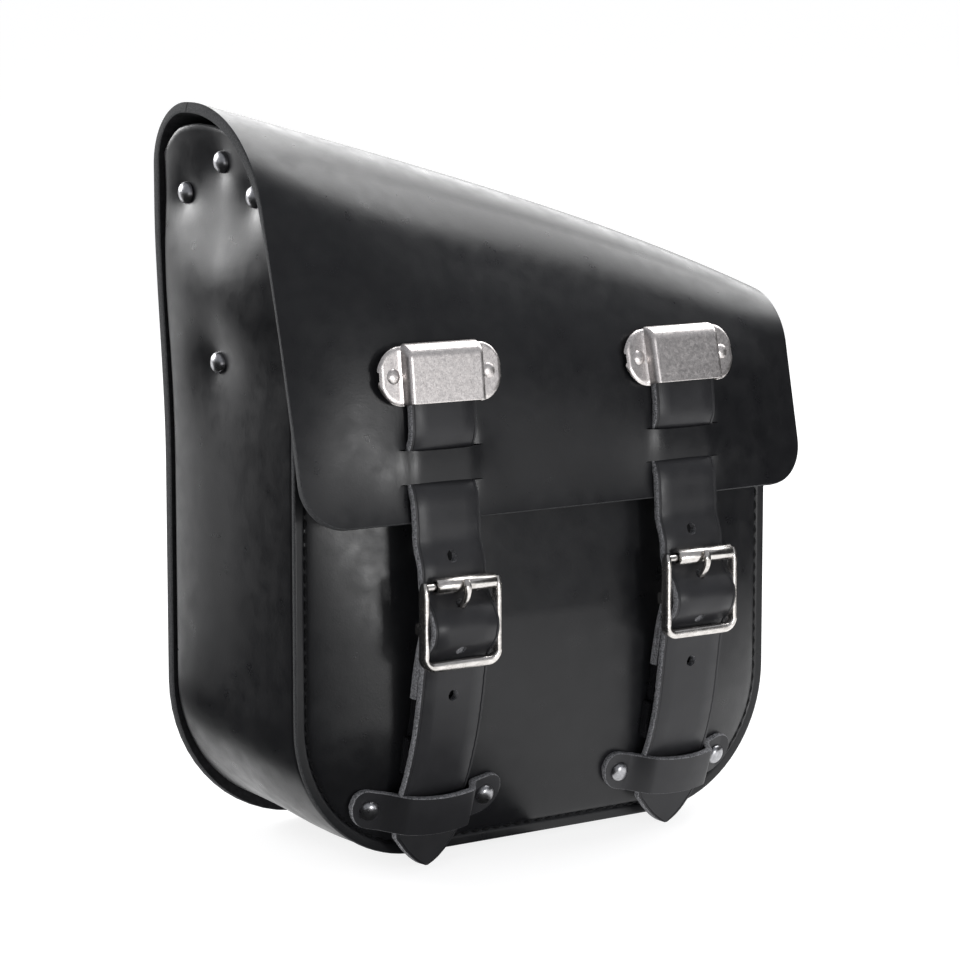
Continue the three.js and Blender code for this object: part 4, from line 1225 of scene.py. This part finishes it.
def softbox(name, direction, distance, width, height, radiance):
    """A soft area light aimed at the middle of the bag."""
    middle = Vector((0, 0, 0.17))
    place = middle + Vector(direction).normalized() * distance
    light = bpy.data.lights.new(name, "AREA")
    light.shape = "RECTANGLE"
    light.size, light.size_y = width, height
    light.energy = radiance * pi * width * height
    obj = add_object(name, light)
    obj.location = place
    obj.rotation_euler = (middle - place).to_track_quat("-Z", "Y").to_euler()


def standing(start, end, height):
    """Corners of an upright card between two places on the floor."""
    return [(*start, 0), (*end, 0), (*end, height), (*start, height)]


def studio_card(name, corners, glow=0.0):
    """A card out of sight, dark or dim, that keeps the studio from mirroring in the leather."""
    finish = Finish(name, (0.01, 0.01, 0.01), 1, specular=0, glow=glow)
    card = add_mesh(name, corners, [(0, 1, 2, 3)], [finish.material])
    card.visible_camera = False
    card.visible_shadow = False
    card.visible_diffuse = False


def make_lights():
    world = bpy.data.worlds.new("studio")
    bpy.context.scene.world = world
    world.use_nodes = True
    background = world.node_tree.nodes["Background"]
    background.inputs["Color"].default_value = (0.93, 0.95, 1, 1)
    background.inputs["Strength"].default_value = 0.36
    softbox("back_softbox", (0.78, 0.4, 0.5), 2.2, 2.7, 1.2, 3.2)
    softbox("top_softbox", (0.5, 0.1, 0.95), 1.8, 1.3, 0.8, 6.0)
    softbox("left_back_softbox", (-0.45, 0.82, 0.34), 1.9, 0.9, 0.7, 15.0)
    softbox("front_softbox", (0.1, -1, -0.02), 1.9, 0.28, 0.45, 24.0)
    studio_card("left_card", standing((-0.75, -0.5), (-0.45, 0.5), 0.3))
    studio_card("right_card", standing((0.62, 0.25), (0.56, -0.72), 0.42))
    studio_card("back_card", standing((-0.3, 1.7), (1.7, 0.4), 0.6), 0.5)
    for name, near, far in (("left_floor_card", (-0.8, -0.9), (-0.16, 0.45)),
                            ("front_floor_card", (-0.16, -0.35), (0.0, -0.01))):
        corners = [near, (far[0], near[1]), far, (near[0], far[1])]
        studio_card(name, [(x, y, FLOOR_Z + MM) for x, y in corners])


def make_camera():
    target = Vector((0.0068, CENTRE_Y * MM, 0.16196))
    azimuth, elevation, distance = radians(-36), radians(7.88), 1.645
    back = Vector((sin(azimuth) * cos(elevation), -cos(azimuth) * cos(elevation),
                   sin(elevation)))
    camera = bpy.data.cameras.new("camera")
    camera.lens = 126.6
    camera.sensor_width = 36
    obj = add_object("camera", camera)
    obj.location = target + back * distance
    obj.rotation_euler = (-back).to_track_quat("-Z", "Y").to_euler()
    bpy.context.scene.camera = obj


make_floor()
make_lights()
make_camera()
bpy.context.scene.view_settings.view_transform = "Standard"
